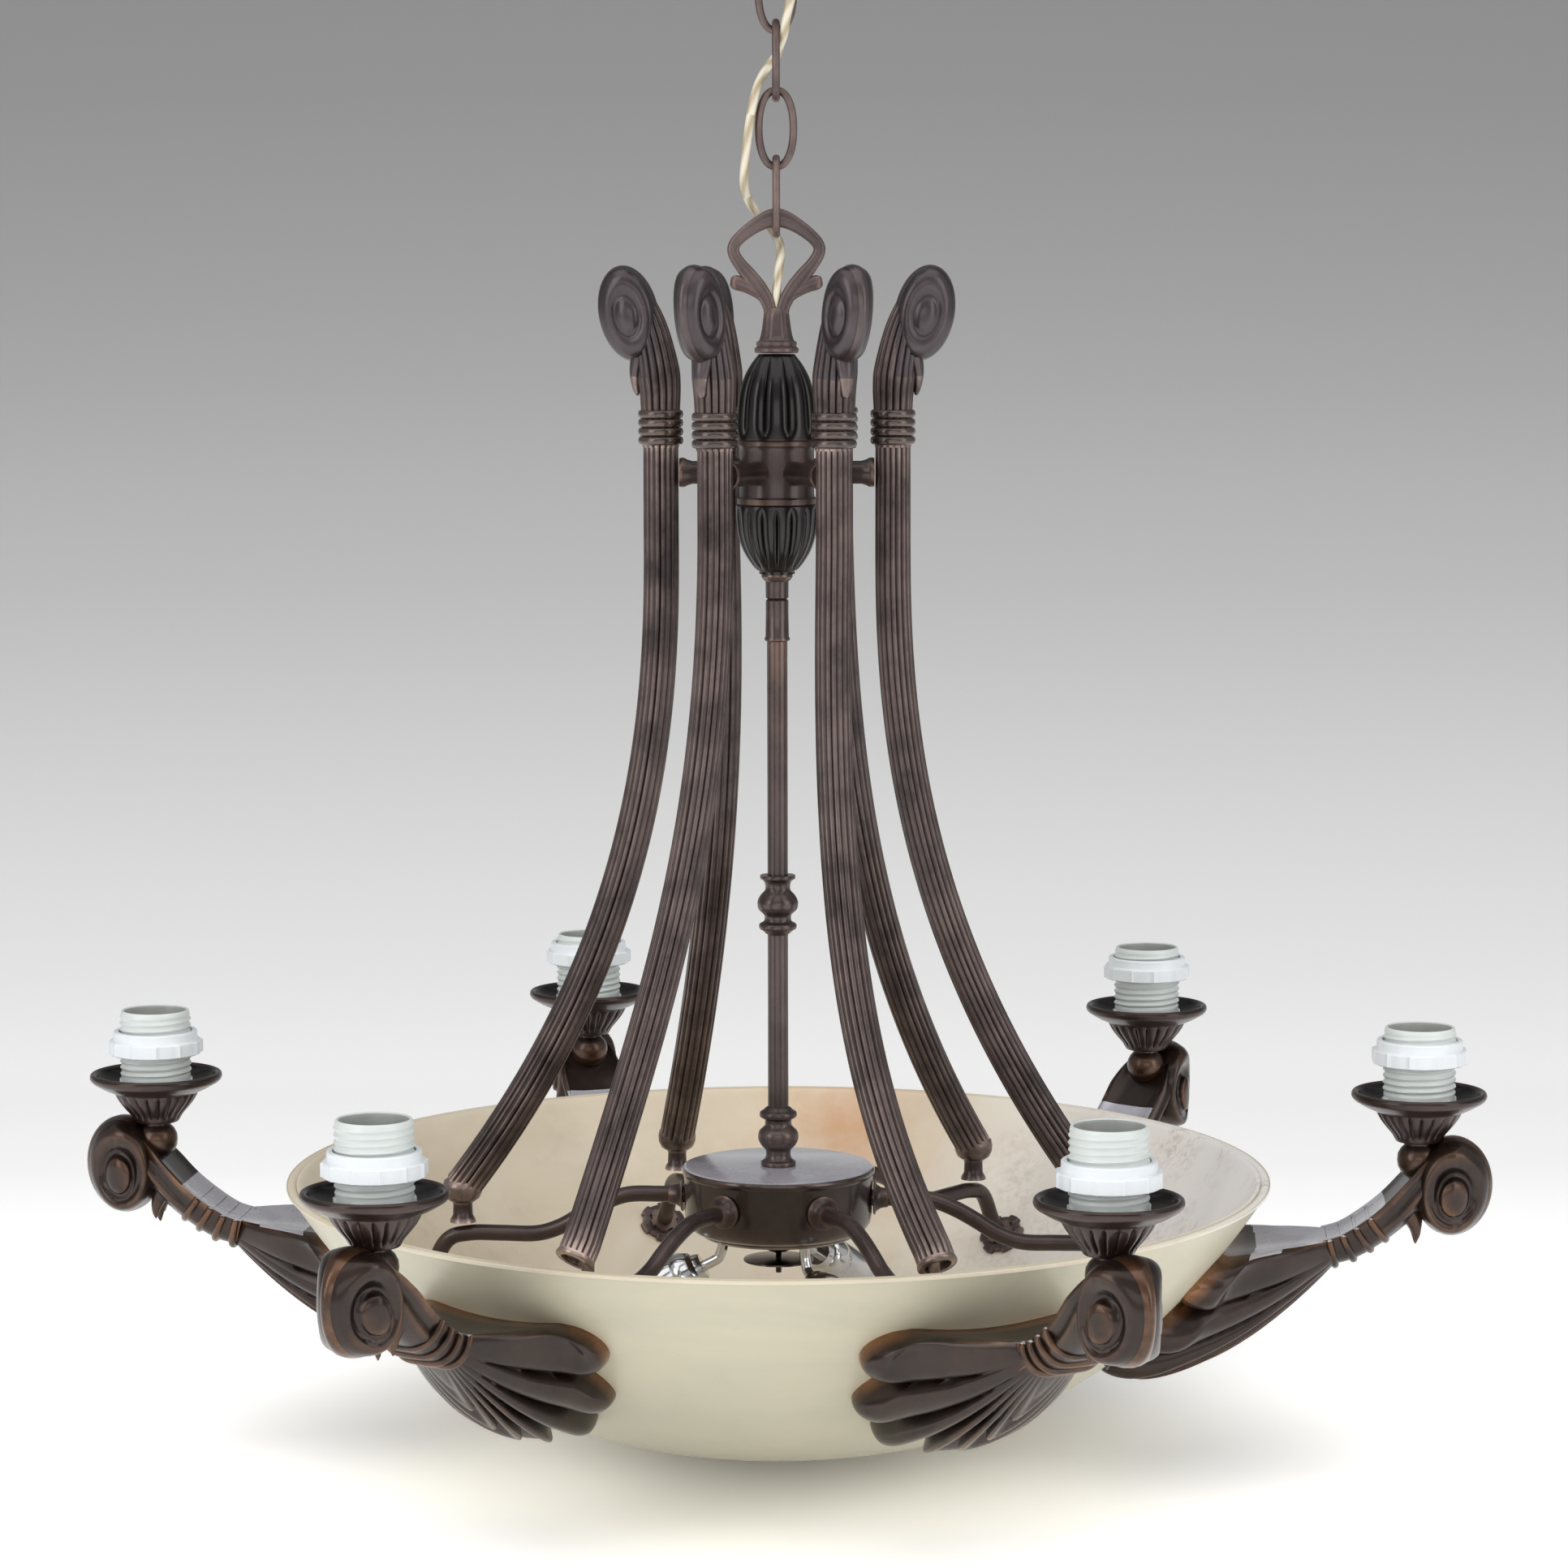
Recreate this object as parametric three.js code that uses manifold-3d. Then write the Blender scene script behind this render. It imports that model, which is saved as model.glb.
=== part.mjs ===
// Six-arm bowl pendant: a carved alabaster bowl held by six cast scroll arms under six reeded stems,
// hung from a ceiling rose by a link chain with a clear flex.
// Millimetres, +Z up. The origin is the middle of the rose's flat top face, against the ceiling.
import * as THREE from 'three';
import { mergeVertices } from 'three/addons/utils/BufferGeometryUtils.js';
import Module from 'manifold-3d';

const wasm = await Module();
wasm.setup();

// Clearances
const seatGap = 0.3;
const overrun = 2;
const boreGap = 0.4;
const slopeStep = 1;

// Colours, roughness and metalness of the finishes
const finishes = {
  bronze: { color: 0x33241d, roughness: 0.42, metalness: 0.75 },
  darkBronze: { color: 0x1d1a1a, roughness: 0.38, metalness: 0.7 },
  alabaster: { color: 0xd6ceb2, roughness: 0.35, metalness: 0 },
  white: { color: 0xdfe4e4, roughness: 0.35, metalness: 0 },
  chrome: { color: 0xc9cccf, roughness: 0.15, metalness: 1 },
  flex: { color: 0xcdb98a, roughness: 0.3, metalness: 0 },
};

// Facets
const smallSides = 12;
const wireSides = 8;
const bowlSides = 32;
const bodySides = 18;
const beadSides = 10;

// Ceiling rose and its hook
const roseRadius = 60;
const roseHeight = 22;
const roseRimHeight = 5;
const roseWall = 2.5;
const roseNeckRadius = 16;
const roseSides = 20;
const hookWire = 4.6;
const hookEyeRadius = 10.5;
const hookShank = 5;
const hookNutRadius = 9;
const hookNutHeight = 6;
const hookNutSides = 6;
const barLength = 96;
const barWidth = 18;
const barThickness = 3;

// Chain
const linkWire = 4.2;
const linkLength = 45;
const linkWidth = 23;
const linkNames = ['link_a', 'link_b', 'link_c', 'link_d'];
const linkBendSteps = 4;

// Cast loop that the last link holds
const loopHeight = 67;
const loopHalfWidth = 27;
const loopThickness = 8;
const loopEdge = 2;
const loopSeatGap = 0.8;
const loopBoreRadius = 3.2;
const loopOuterShares = [
  [0, 0.18], [0.185, 0.161], [0.48, 0.079], [0.755, 0], [0.944, -0.075], [1, -0.161], [0.944, -0.254],
  [0.796, -0.343], [0.889, -0.47], [0.63, -0.522], [0.389, -0.59], [0.27, -0.687], [0.26, -0.746],
];
const loopInnerShares = [
  [0, 0], [0.15, -0.004], [0.37, -0.045], [0.648, -0.109], [0.726, -0.164], [0.648, -0.239], [0.37, -0.373],
  [0.15, -0.49], [0, -0.51],
];
const loopNeckRadius = 7.2;
const loopFootRadius = 12;
const loopFootHeight = 19;

// Centre body: upper cup, band with its pegs, lower cup
const bodyFlutes = 10;
const fluteShare = 0.07;
const upperCupHeight = 46.5;
const upperCupTopRadius = 10;
const bandHeight = 35.3;
const bandRadius = 21.6;
const lowerCupHeight = 37.3;
const lowerCupFootRadius = 9.6;
const bodyRadius = 22.4;
const pegRadius = 6.4;
const pegFlangeRadius = 8.2;
const pegFlangeHeight = 3;

// Centre rod, its coupling and its beads
const couplingHeight = 36.5;
const couplingRadius = 6.2;
const couplingGroove = 1.2;
const rodRadius = 5.6;
const rodLength = 291;
const beadSetHeight = 33;
const beadRadius = 11;
const upperBeadDrop = 129;

// Hub drum under the rod
const hubRadius = 53.5;
const hubHeight = 36;
const hubWall = 2.4;
const hubLip = 1.2;
const hubLipHeight = 3;
const hubCoverHeight = 3;
const hubAboveRim = 4.6;
const hubNutRadius = 11;
const hubNutHeight = 9;
const hubPostRadius = 1.6;
const hubPostLength = 12;

// Bowl
const bowlRadius = 271.5;
const bowlDepth = 145;
const bowlWall = 6.5;
const bowlCurveShare = 2.87;
const bowlRings = 8;

// Arms: six, evenly round by their stems, each set off by hand where its bolt goes through the bowl
const armCount = 6;
const firstStemAngle = 28.7;
const armSetOffs = [-1.6, -3.3, -8.6, -8.9, -5, -2.7];
const limbHalfWidth = 19;
const limbDepth = 16;
const bindingRings = 4;
const bindingPitch = 6.6;
const bindingRise = 3;
const limbSteps = 4;

// Places along the arm, from the centre line and from the rim's level
const shellRootOut = 28.5;
const shellRootDrop = 29.5;
const shellTopDrop = 31;
const shellTipDrop = 110;
const shellHalfWidth = 50;
const shellBellyIn = 65;
const shellBellyDrop = 118;
const shellLobes = 9;
const shellLobeShare = 0.14;
const shellSteps = 4;
const limbRun = 71;
const scrollDrop = 1.5;
const scrollHalfLength = 20;
const scrollHalfHeight = 26;
const scrollTiltShare = 0.04;
const scrollBossRadius = 8;
const scrollBossRise = 2;
const scrollRecessRadius = 12.5;
const scrollRecessDepth = 2;
const seatBallRadius = 9.4;
const seatBallHeight = 13.6;
const spurIn = 20;
const spurDrop = 34.5;
const spurBase = 9;
const spurTip = 0.3;
const spurHalfWidth = 5;

// Drip pan and its cup
const panIn = 19;
const panRadius = 36.5;
const panRimHeight = 50.8;
const panRimBead = 2.4;
const panDepth = 11.5;
const panWall = 2.2;
const cupTopRadius = 23;
const cupFootRadius = 9;
const cupFootHeight = 22.5;
const cupFlutes = 8;

// Lampholder and its shade ring
const holderRadius = 20;
const holderTopAboveRim = 35.5;
const holderWall = 2.6;
const holderFloor = 12;
const holderContactRadius = 4;
const holderContactRise = 3;
const ringInnerGap = 0.6;
const ringRadius = 25.6;
const ringCollarRadius = 23.4;
const ringHeight = 13;
const ringCollarShare = 0.4;
const ringRises = [12, 22, 23, 24, 17.4, 13.6];

// Stems
const stemRadius = 9.6;
const stemFootRadius = 10.4;
const stemReach = 63.3;
const stemReeds = 7;
const reedShare = 0.1;
const stemBendTop = 350;
const stemBendRadius = 560;
const stemBendAngle = 26.6;
const stemFootHeight = -11;
const collarTop = 422.5;
const collarPitch = 4.8;
const collarRings = 4;
const collarRise = 2.7;
const headNeckRadius = 12.5;
const headBottom = 448;
const headReach = 80;
const headHeight = 473;
const headHalfLength = 17;
const headHalfHeight = 26;
const headTilt = -12;
const headHalfWidth = 12;
const headBossRadius = 6.5;
const headBossStretch = 1.7;
const headBossRise = 1.6;
const footBallRadius = 8;
const footNeckRadius = 3.4;

// Wiring tubes from the hub out through the bowl
const tubeRadius = 4.5;
const tubeHubDrop = 13;
const tubeLowDrop = 37;
const tubeBendReach = 84;
const tubeLevelReach = 136;
const tubeTurnIn = 3.8;
const tubeWallReach = 211;
const tubeEndPast = 14;
const tubeFlangeRadius = 8.5;
const tubeFlangeHeight = 2.4;
const washerRadius = 14;
const washerHeight = 3;
const washerTeeth = 6;
const washerToothShare = 0.12;

// Lampholders inside the bowl
const innerHolderCount = 3;
const firstInnerHolderAngle = -62;
const innerHolderRadius = 13.5;
const innerHolderLength = 42;
const innerHolderReach = 31;
const innerHolderDrop = 12;
const innerHolderTilt = 62;
const innerArmRadius = 3;

// Flex laced through the chain: diameter, and its route from the rose down into the loop, chosen by eye
const flexDiameter = 5;
const flexSides = 8;
const flexPointGap = 7;
const flexRoute = [
  [11, 0, -10], [11, 0, -20], [11.5, -1.2, -30], [12.5, -3.2, -42], [11.8, -5.4, -54], [9.4, -6.3, -63],
  [7.4, -6.3, -70], [5.6, -6, -78], [4.2, -5.2, -86], [2.2, -2.6, -92], [0.4, 0, -97], [-3.4, 0.6, -102],
  [-6.8, -0.8, -107], [-10.6, -2.6, -115.5], [-13.6, -3.2, -129], [-15.4, -3, -142], [-16.9, -1, -155],
  [-17.4, 1.4, -165], [-15.8, 4.4, -172.5], [-12.2, 7.6, -179], [-8, 10.6, -184.5], [-3.6, 12.9, -189.4],
  [0, 13, -194], [2, 10.4, -199], [2.3, 6.4, -204.5], [1.4, 2.8, -211], [0.6, 0.8, -218], [0, 0, -225],
  [0, 0, -236], [0, 0, -246],
];
const flexJoins = [5, 10, 14, 18];

// Levels, from the rose down
const hookEyeCentre = -(roseHeight + hookShank + hookEyeRadius);
const hookWireLevel = hookEyeCentre - hookEyeRadius;
const linkWireGap = linkWire + seatGap;
const linkInner = linkLength - linkWire;
const linkTops = [];
let wireLevel = hookWireLevel + (hookWire + linkWire) / 2 + seatGap;
for (let k = 0; k < linkNames.length; k += 1) {
  linkTops.push(wireLevel);
  wireLevel += linkWireGap - linkInner;
}
const lastWireLevel = wireLevel - linkWireGap;
const loopUnderside = lastWireLevel + linkWire / 2 + loopSeatGap;
const loopFootLevel = loopUnderside - loopHeight;
const upperCupLevel = loopFootLevel - seatGap - upperCupHeight;
const bandLevel = upperCupLevel - seatGap - bandHeight;
const lowerCupLevel = bandLevel - seatGap - lowerCupHeight;
const couplingLevel = lowerCupLevel - seatGap - couplingHeight;
const rodLevel = couplingLevel - seatGap - rodLength;
const hubTopLevel = rodLevel - seatGap;
const rimLevel = hubTopLevel - hubAboveRim;

// Reaches, from the bowl outwards along an arm
const shellRootReach = bowlRadius + shellRootOut;
const shellBellyReach = shellRootReach - shellBellyIn;
const scrollReach = shellRootReach + limbRun;
const spurReach = scrollReach - spurIn;
const panReach = scrollReach - panIn;

// Geometry helpers

const trianglePoints = 3;

// A manifold solid of a closed geometry, turned the right way out.
function toSolid(geometry) {
  const plain = geometry.clone();
  plain.deleteAttribute('normal');
  plain.deleteAttribute('uv');
  const merged = mergeVertices(plain);
  const corners = [];
  const count = merged.index.count / trianglePoints;
  for (let t = 0; t < count; t += 1) {
    const [a, b, c] = [0, 1, 2].map((n) => merged.index.getX(t * trianglePoints + n));
    if (a !== b && b !== c && c !== a) corners.push([a, b, c]);
  }
  const vertProperties = new Float32Array(merged.attributes.position.array);
  const made = (triangles) => {
    const triVerts = new Uint32Array(triangles.flat());
    return new wasm.Manifold(new wasm.Mesh({ numProp: 3, vertProperties, triVerts }));
  };
  const solid = made(corners);
  return solid.volume() > 0 ? solid : made(corners.map(([a, b, c]) => [a, c, b]));
}

// The geometry of a manifold solid.
function toGeometry(solid) {
  const mesh = solid.getMesh();
  const geometry = new THREE.BufferGeometry();
  geometry.setAttribute('position', new THREE.BufferAttribute(mesh.vertProperties, 3));
  geometry.setIndex(new THREE.BufferAttribute(mesh.triVerts, 1));
  geometry.computeVertexNormals();
  return geometry;
}

// One geometry from several solids joined, less the ones cut away.
function join(parts, cuts = []) {
  let solid = toSolid(parts[0]);
  for (const part of parts.slice(1)) solid = solid.add(toSolid(part));
  for (const cut of cuts) solid = solid.subtract(toSolid(cut));
  return toGeometry(solid);
}

// A revolved profile of [radius, height] points about Z; the profile ends on the axis or is closed.
function revolve(profile, sides) {
  const points = profile.map(([radius, height]) => new THREE.Vector2(radius, height));
  return new THREE.LatheGeometry(points, sides).rotateX(Math.PI / 2);
}

// A ring profile, which closes on itself.
function revolveRing(profile, sides) {
  return revolve([...profile, profile[0]], sides);
}

// Draws every second line of vertices in, so that a revolved form of 2 x count sides is fluted.
function flute(geometry, count, share, low, high) {
  const places = geometry.attributes.position;
  for (let k = 0; k < places.count; k += 1) {
    const x = places.getX(k);
    const y = places.getY(k);
    const z = places.getZ(k);
    const line = Math.round(Math.atan2(y, x) / (Math.PI / count));
    if (line % 2 !== 0 && z > low && z < high) {
      places.setXYZ(k, x * (1 - share), y * (1 - share), z);
    }
  }
  return geometry;
}

// A skin through rings of points, capped at both ends, or closed on itself.
function loft(rings, closed = false) {
  const count = rings[0].length;
  const positions = rings.flat().flatMap((p) => [p.x, p.y, p.z]);
  const index = [];
  const spans = closed ? rings.length : rings.length - 1;
  for (let k = 0; k < spans; k += 1) {
    const here = k * count;
    const next = ((k + 1) % rings.length) * count;
    for (let i = 0; i < count; i += 1) {
      const j = (i + 1) % count;
      index.push(here + i, here + j, next + j, here + i, next + j, next + i);
    }
  }
  if (!closed) {
    for (const [ring, flip] of [[0, true], [rings.length - 1, false]]) {
      const middle = new THREE.Vector3();
      rings[ring].forEach((p) => middle.add(p));
      middle.divideScalar(count);
      const centre = positions.length / 3;
      positions.push(middle.x, middle.y, middle.z);
      for (let i = 0; i < count; i += 1) {
        const j = (i + 1) % count;
        const [a, b] = flip ? [j, i] : [i, j];
        index.push(centre, ring * count + a, ring * count + b);
      }
    }
  }
  const geometry = new THREE.BufferGeometry();
  geometry.setAttribute('position', new THREE.Float32BufferAttribute(positions, 3));
  geometry.setIndex(index);
  return geometry;
}

// A round bar along a curve.
function roundBar(curve, radius, sides, steps) {
  const section = new THREE.Shape();
  for (let k = 0; k < sides; k += 1) {
    const angle = (2 * Math.PI * k) / sides;
    const place = [radius * Math.cos(angle), radius * Math.sin(angle)];
    if (k === 0) section.moveTo(...place);
    else section.lineTo(...place);
  }
  section.closePath();
  return new THREE.ExtrudeGeometry(section, { steps, extrudePath: curve, bevelEnabled: false });
}

// A cylinder between two points.
function rod(from, to, radius, sides = smallSides, endRadius = radius) {
  const axis = new THREE.Vector3().subVectors(to, from);
  const geometry = new THREE.CylinderGeometry(endRadius, radius, axis.length(), sides);
  geometry.translate(0, axis.length() / 2, 0);
  const turn = new THREE.Quaternion().setFromUnitVectors(new THREE.Vector3(0, 1, 0), axis.normalize());
  return geometry.applyQuaternion(turn).translate(from.x, from.y, from.z);
}

function radians(degrees) {
  return (degrees * Math.PI) / 180;
}

// The bowl's outer face: how far out it stands at a drop below the rim.
function bowlReach(drop, radius = bowlRadius, depth = bowlDepth) {
  return radius * Math.max(1 - drop / depth, 0) ** (1 / bowlCurveShare);
}

function makeMesh(name, geometry, finish) {
  const material = new THREE.MeshStandardMaterial(finishes[finish]);
  material.name = `${name}_finish`;
  const mesh = new THREE.Mesh(toGeometry(toSolid(geometry)), material);
  mesh.name = name;
  return mesh;
}

const group = new THREE.Group();

// Ceiling rose: a spun cup with a hole for the hook's shank and one for the flex
function roseGeometry() {
  const inside = roseRadius - roseWall;
  const shell = revolveRing([
    [roseRadius, 0], [roseRadius, -roseRimHeight], [roseRadius * 0.72, -roseHeight * 0.62],
    [roseNeckRadius + roseWall, -roseHeight], [hookWire / 2 + boreGap, -roseHeight],
    [hookWire / 2 + boreGap, -roseHeight + roseWall], [roseNeckRadius, -roseHeight + roseWall],
    [roseRadius * 0.68, -roseHeight * 0.5], [inside, -roseRimHeight], [inside, 0],
  ], roseSides);
  const [x, y] = flexRoute[0];
  const hole = rod(
    new THREE.Vector3(x, y, -roseHeight - overrun),
    new THREE.Vector3(x, y, -roseHeight + 2 * roseWall),
    flexDiameter / 2 + boreGap, wireSides,
  );
  return join([shell], [hole]);
}
group.add(makeMesh('ceiling_rose', roseGeometry(), 'bronze'));

// Hook: a closed eye on a shank under a flat bar against the ceiling, with the nut that holds the rose up
function hookGeometry() {
  const eye = new THREE.TorusGeometry(hookEyeRadius, hookWire / 2, wireSides, smallSides);
  eye.rotateX(Math.PI / 2).rotateZ(Math.PI / 2).rotateX(Math.PI / 2).translate(0, 0, hookEyeCentre);
  const shank = rod(
    new THREE.Vector3(0, 0, hookEyeCentre + hookEyeRadius), new THREE.Vector3(0, 0, -barThickness / 2),
    hookWire / 2, wireSides,
  );
  const nut = new THREE.CylinderGeometry(hookNutRadius, hookNutRadius, hookNutHeight, hookNutSides);
  nut.rotateX(Math.PI / 2).translate(0, 0, -roseHeight + roseWall + seatGap + hookNutHeight / 2);
  const bar = new THREE.BoxGeometry(barWidth, barLength, barThickness).translate(0, 0, -barThickness / 2);
  return join([eye, shank, nut, bar]);
}
group.add(makeMesh('rose_hook', hookGeometry(), 'bronze'));

// Chain links: round wire bent to long ovals, each hanging square to the last
function linkGeometry() {
  const half = (linkWidth - linkWire) / 2;
  const straight = linkInner / 2 - half;
  const rings = [];
  for (const [side, start] of [[1, 0], [-1, Math.PI]]) {
    for (let k = 0; k <= linkBendSteps; k += 1) {
      const angle = start + (Math.PI * k) / linkBendSteps;
      const out = new THREE.Vector3(Math.cos(angle), 0, Math.sin(angle));
      const centre = out.clone().multiplyScalar(half).add(new THREE.Vector3(0, 0, side * straight));
      const ring = [];
      for (let i = 0; i < wireSides; i += 1) {
        const turn = (2 * Math.PI * i) / wireSides;
        const place = out.clone().multiplyScalar((linkWire / 2) * Math.cos(turn));
        place.y = (linkWire / 2) * Math.sin(turn);
        ring.push(centre.clone().add(place));
      }
      rings.push(ring);
    }
  }
  return loft(rings, true);
}
linkNames.forEach((name, k) => {
  const link = makeMesh(name, linkGeometry(), 'bronze');
  link.position.z = linkTops[k] - linkInner / 2;
  link.rotation.z = k % 2 === 0 ? 0 : Math.PI / 2;
  group.add(link);
});

// Cast loop: a lyre of flat bar on a round foot
function loopGeometry() {
  const round = (halves, out, up) => {
    const right = halves.map(([x, rise]) => new THREE.Vector2(x * out, loopUnderside + rise * up));
    const left = right.filter((p) => p.x > 0).reverse().map((p) => new THREE.Vector2(-p.x, p.y));
    return [...right, ...left];
  };
  const outline = new THREE.Shape(round(loopOuterShares, loopHalfWidth, loopHeight));
  outline.holes.push(new THREE.Path(round(loopInnerShares, loopHalfWidth, loopHeight).reverse()));
  const plate = new THREE.ExtrudeGeometry(outline, {
    depth: loopThickness - 2 * loopEdge, bevelEnabled: true, bevelThickness: loopEdge, bevelSize: loopEdge,
    bevelOffset: -loopEdge, bevelSegments: 1,
  });
  plate.rotateX(Math.PI / 2).translate(0, loopThickness / 2 - loopEdge, 0);
  const foot = revolve([
    [0, loopFootLevel], [loopFootRadius, loopFootLevel],
    [loopFootRadius * 0.94, loopFootLevel + loopFootHeight * 0.1],
    [loopNeckRadius * 1.12, loopFootLevel + loopFootHeight * 0.45],
    [loopNeckRadius, loopFootLevel + loopFootHeight], [0, loopFootLevel + loopFootHeight * 1.3],
  ], smallSides);
  const bore = rod(
    new THREE.Vector3(0, 0, loopFootLevel - overrun),
    new THREE.Vector3(0, 0, loopUnderside - loopHeight * 0.45),
    loopBoreRadius, wireSides,
  );
  return join([plate, foot], [bore]);
}
group.add(makeMesh('top_loop', loopGeometry(), 'bronze'));

// Centre body: two fluted cups with a plain band between them
function cupGeometry(height, smallRadius, up) {
  const levels = [0, 0.1, 0.35, 0.62, 0.84, 1];
  const swells = [1, 1, 0.98, 0.87, 0.68, smallRadius / bodyRadius];
  const profile = levels.map((share, k) => [bodyRadius * swells[k], up ? height * share : -height * share]);
  const ends = up ? [0, height] : [0, -height];
  const cup = revolve([[0, ends[0]], ...profile, [0, ends[1]]], 2 * bodyFlutes);
  const low = Math.min(...ends) + height * 0.05;
  return flute(cup, bodyFlutes, fluteShare, low, Math.max(...ends) - height * 0.05);
}
const upperCup = makeMesh('upper_cup', cupGeometry(upperCupHeight, upperCupTopRadius, true), 'darkBronze');
upperCup.position.z = upperCupLevel;
group.add(upperCup);
const lowerCup = makeMesh('lower_cup', cupGeometry(lowerCupHeight, lowerCupFootRadius, false), 'darkBronze');
lowerCup.position.z = lowerCupLevel + lowerCupHeight;
group.add(lowerCup);

function stemAngle(k) {
  return radians(firstStemAngle + (360 / armCount) * k - 90);
}

function bandGeometry() {
  const edge = bandHeight * 0.06;
  const drum = revolve([
    [0, 0], [bandRadius, 0], [bandRadius, edge], [bandRadius - edge / 2, edge * 1.5],
    [bandRadius - edge / 2, bandHeight - edge * 1.5], [bandRadius, bandHeight - edge],
    [bandRadius, bandHeight], [0, bandHeight],
  ], bodySides);
  const parts = [drum];
  for (let k = 0; k < armCount; k += 1) {
    const out = new THREE.Vector3(Math.cos(stemAngle(k)), Math.sin(stemAngle(k)), 0);
    const level = new THREE.Vector3(0, 0, bandHeight / 2);
    const end = stemReach - stemRadius - seatGap;
    const at = (reach) => out.clone().multiplyScalar(reach).add(level);
    parts.push(rod(at(bandRadius - overrun), at(end - pegFlangeHeight / 2), pegRadius, wireSides));
    parts.push(rod(at(end - pegFlangeHeight), at(end), pegFlangeRadius, wireSides));
  }
  return join(parts);
}
const band = makeMesh('body_band', bandGeometry(), 'bronze');
band.position.z = bandLevel;
group.add(band);

// Coupling sleeve and rod with its two sets of turned beads
function couplingGeometry() {
  const grooveLevel = couplingHeight * 0.64;
  return revolve([
    [0, 0], [couplingRadius * 1.06, 0], [couplingRadius * 1.06, couplingGroove],
    [couplingRadius, couplingGroove * 2],
    [couplingRadius, grooveLevel - couplingGroove], [couplingRadius - couplingGroove, grooveLevel],
    [couplingRadius, grooveLevel + couplingGroove], [couplingRadius, couplingHeight], [0, couplingHeight],
  ], smallSides);
}
const coupling = makeMesh('rod_coupling', couplingGeometry(), 'bronze');
coupling.position.z = couplingLevel;
group.add(coupling);

// One set of beads, from its foot up, in shares of the set's height and of the ball's radius.
const beadHeightShares = [0, 0.06, 0.12, 0.22, 0.32, 0.5, 0.62, 0.72, 0.78, 0.86, 0.92, 1];
const beadRadiusShares = [0.86, 0.9, 0.78, 0.6, 0.84, 1, 0.84, 0.6, 0.6, 0.86, 0.86, 0.6];
function rodGeometry() {
  const profile = [[0, 0]];
  for (const [low, flip] of [[0, false], [rodLength - upperBeadDrop - beadSetHeight, true]]) {
    if (low > 0) profile.push([rodRadius, low]);
    beadHeightShares.forEach((share, k) => {
      const j = flip ? beadHeightShares.length - 1 - k : k;
      const height = flip ? 1 - beadHeightShares[j] : share;
      profile.push([Math.max(beadRadius * beadRadiusShares[j], rodRadius), low + beadSetHeight * height]);
    });
    profile.push([rodRadius, low + beadSetHeight + seatGap]);
  }
  profile.push([rodRadius, rodLength], [0, rodLength]);
  return revolve(profile, beadSides);
}
const centreRod = makeMesh('centre_rod', rodGeometry(), 'bronze');
centreRod.position.z = rodLevel;
group.add(centreRod);

function armAngle(k) {
  return stemAngle(k) + radians(armSetOffs[k]);
}

// Hub drum: a spun pot with six holes for the wiring tubes, its cover, and the nut under it
function hubGeometry() {
  const inside = hubRadius - hubLip - hubWall;
  const pot = revolve([
    [0, 0], [hubRadius, 0], [hubRadius, -hubLipHeight], [hubRadius - hubLip, -hubLipHeight - hubLip],
    [hubRadius - hubLip, -hubHeight], [inside, -hubHeight], [inside, -hubWall], [0, -hubWall],
  ], roseSides);
  const holes = [];
  for (let k = 0; k < armCount; k += 1) {
    const out = new THREE.Vector3(Math.cos(armAngle(k)), Math.sin(armAngle(k)), 0);
    const level = new THREE.Vector3(0, 0, -hubAboveRim - tubeHubDrop);
    const at = (reach) => out.clone().multiplyScalar(reach).add(level);
    holes.push(rod(at(inside - 2 * overrun), at(hubRadius + overrun), tubeRadius + boreGap, wireSides));
  }
  return join([pot], holes);
}
const hub = makeMesh('hub_drum', hubGeometry(), 'bronze');
hub.position.z = hubTopLevel;
group.add(hub);

const hubCoverLevel = hubTopLevel - hubHeight - seatGap;
function hubCoverGeometry() {
  return revolve([
    [0, 0], [hubRadius - hubLip, 0], [hubRadius - hubLip * 2, -hubCoverHeight * 0.7],
    [hubRadius * 0.86, -hubCoverHeight], [0, -hubCoverHeight],
  ], roseSides);
}
const hubCover = makeMesh('hub_cover', hubCoverGeometry(), 'bronze');
hubCover.position.z = hubCoverLevel;
group.add(hubCover);

function hubNutGeometry() {
  return revolve([
    [0, 0], [hubNutRadius * 1.25, 0], [hubNutRadius * 1.25, -hubNutHeight * 0.25],
    [hubNutRadius * 0.8, -hubNutHeight * 0.35], [hubNutRadius * 0.72, -hubNutHeight * 0.8],
    [hubNutRadius * 0.3, -hubNutHeight], [hubPostRadius, -hubNutHeight],
    [hubPostRadius, -hubNutHeight - hubPostLength], [0, -hubNutHeight - hubPostLength],
  ], smallSides);
}
const hubNutLevel = hubCoverLevel - hubCoverHeight - seatGap;
const hubNut = makeMesh('hub_nut', hubNutGeometry(), 'darkBronze');
hubNut.position.z = hubNutLevel;
group.add(hubNut);

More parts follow.
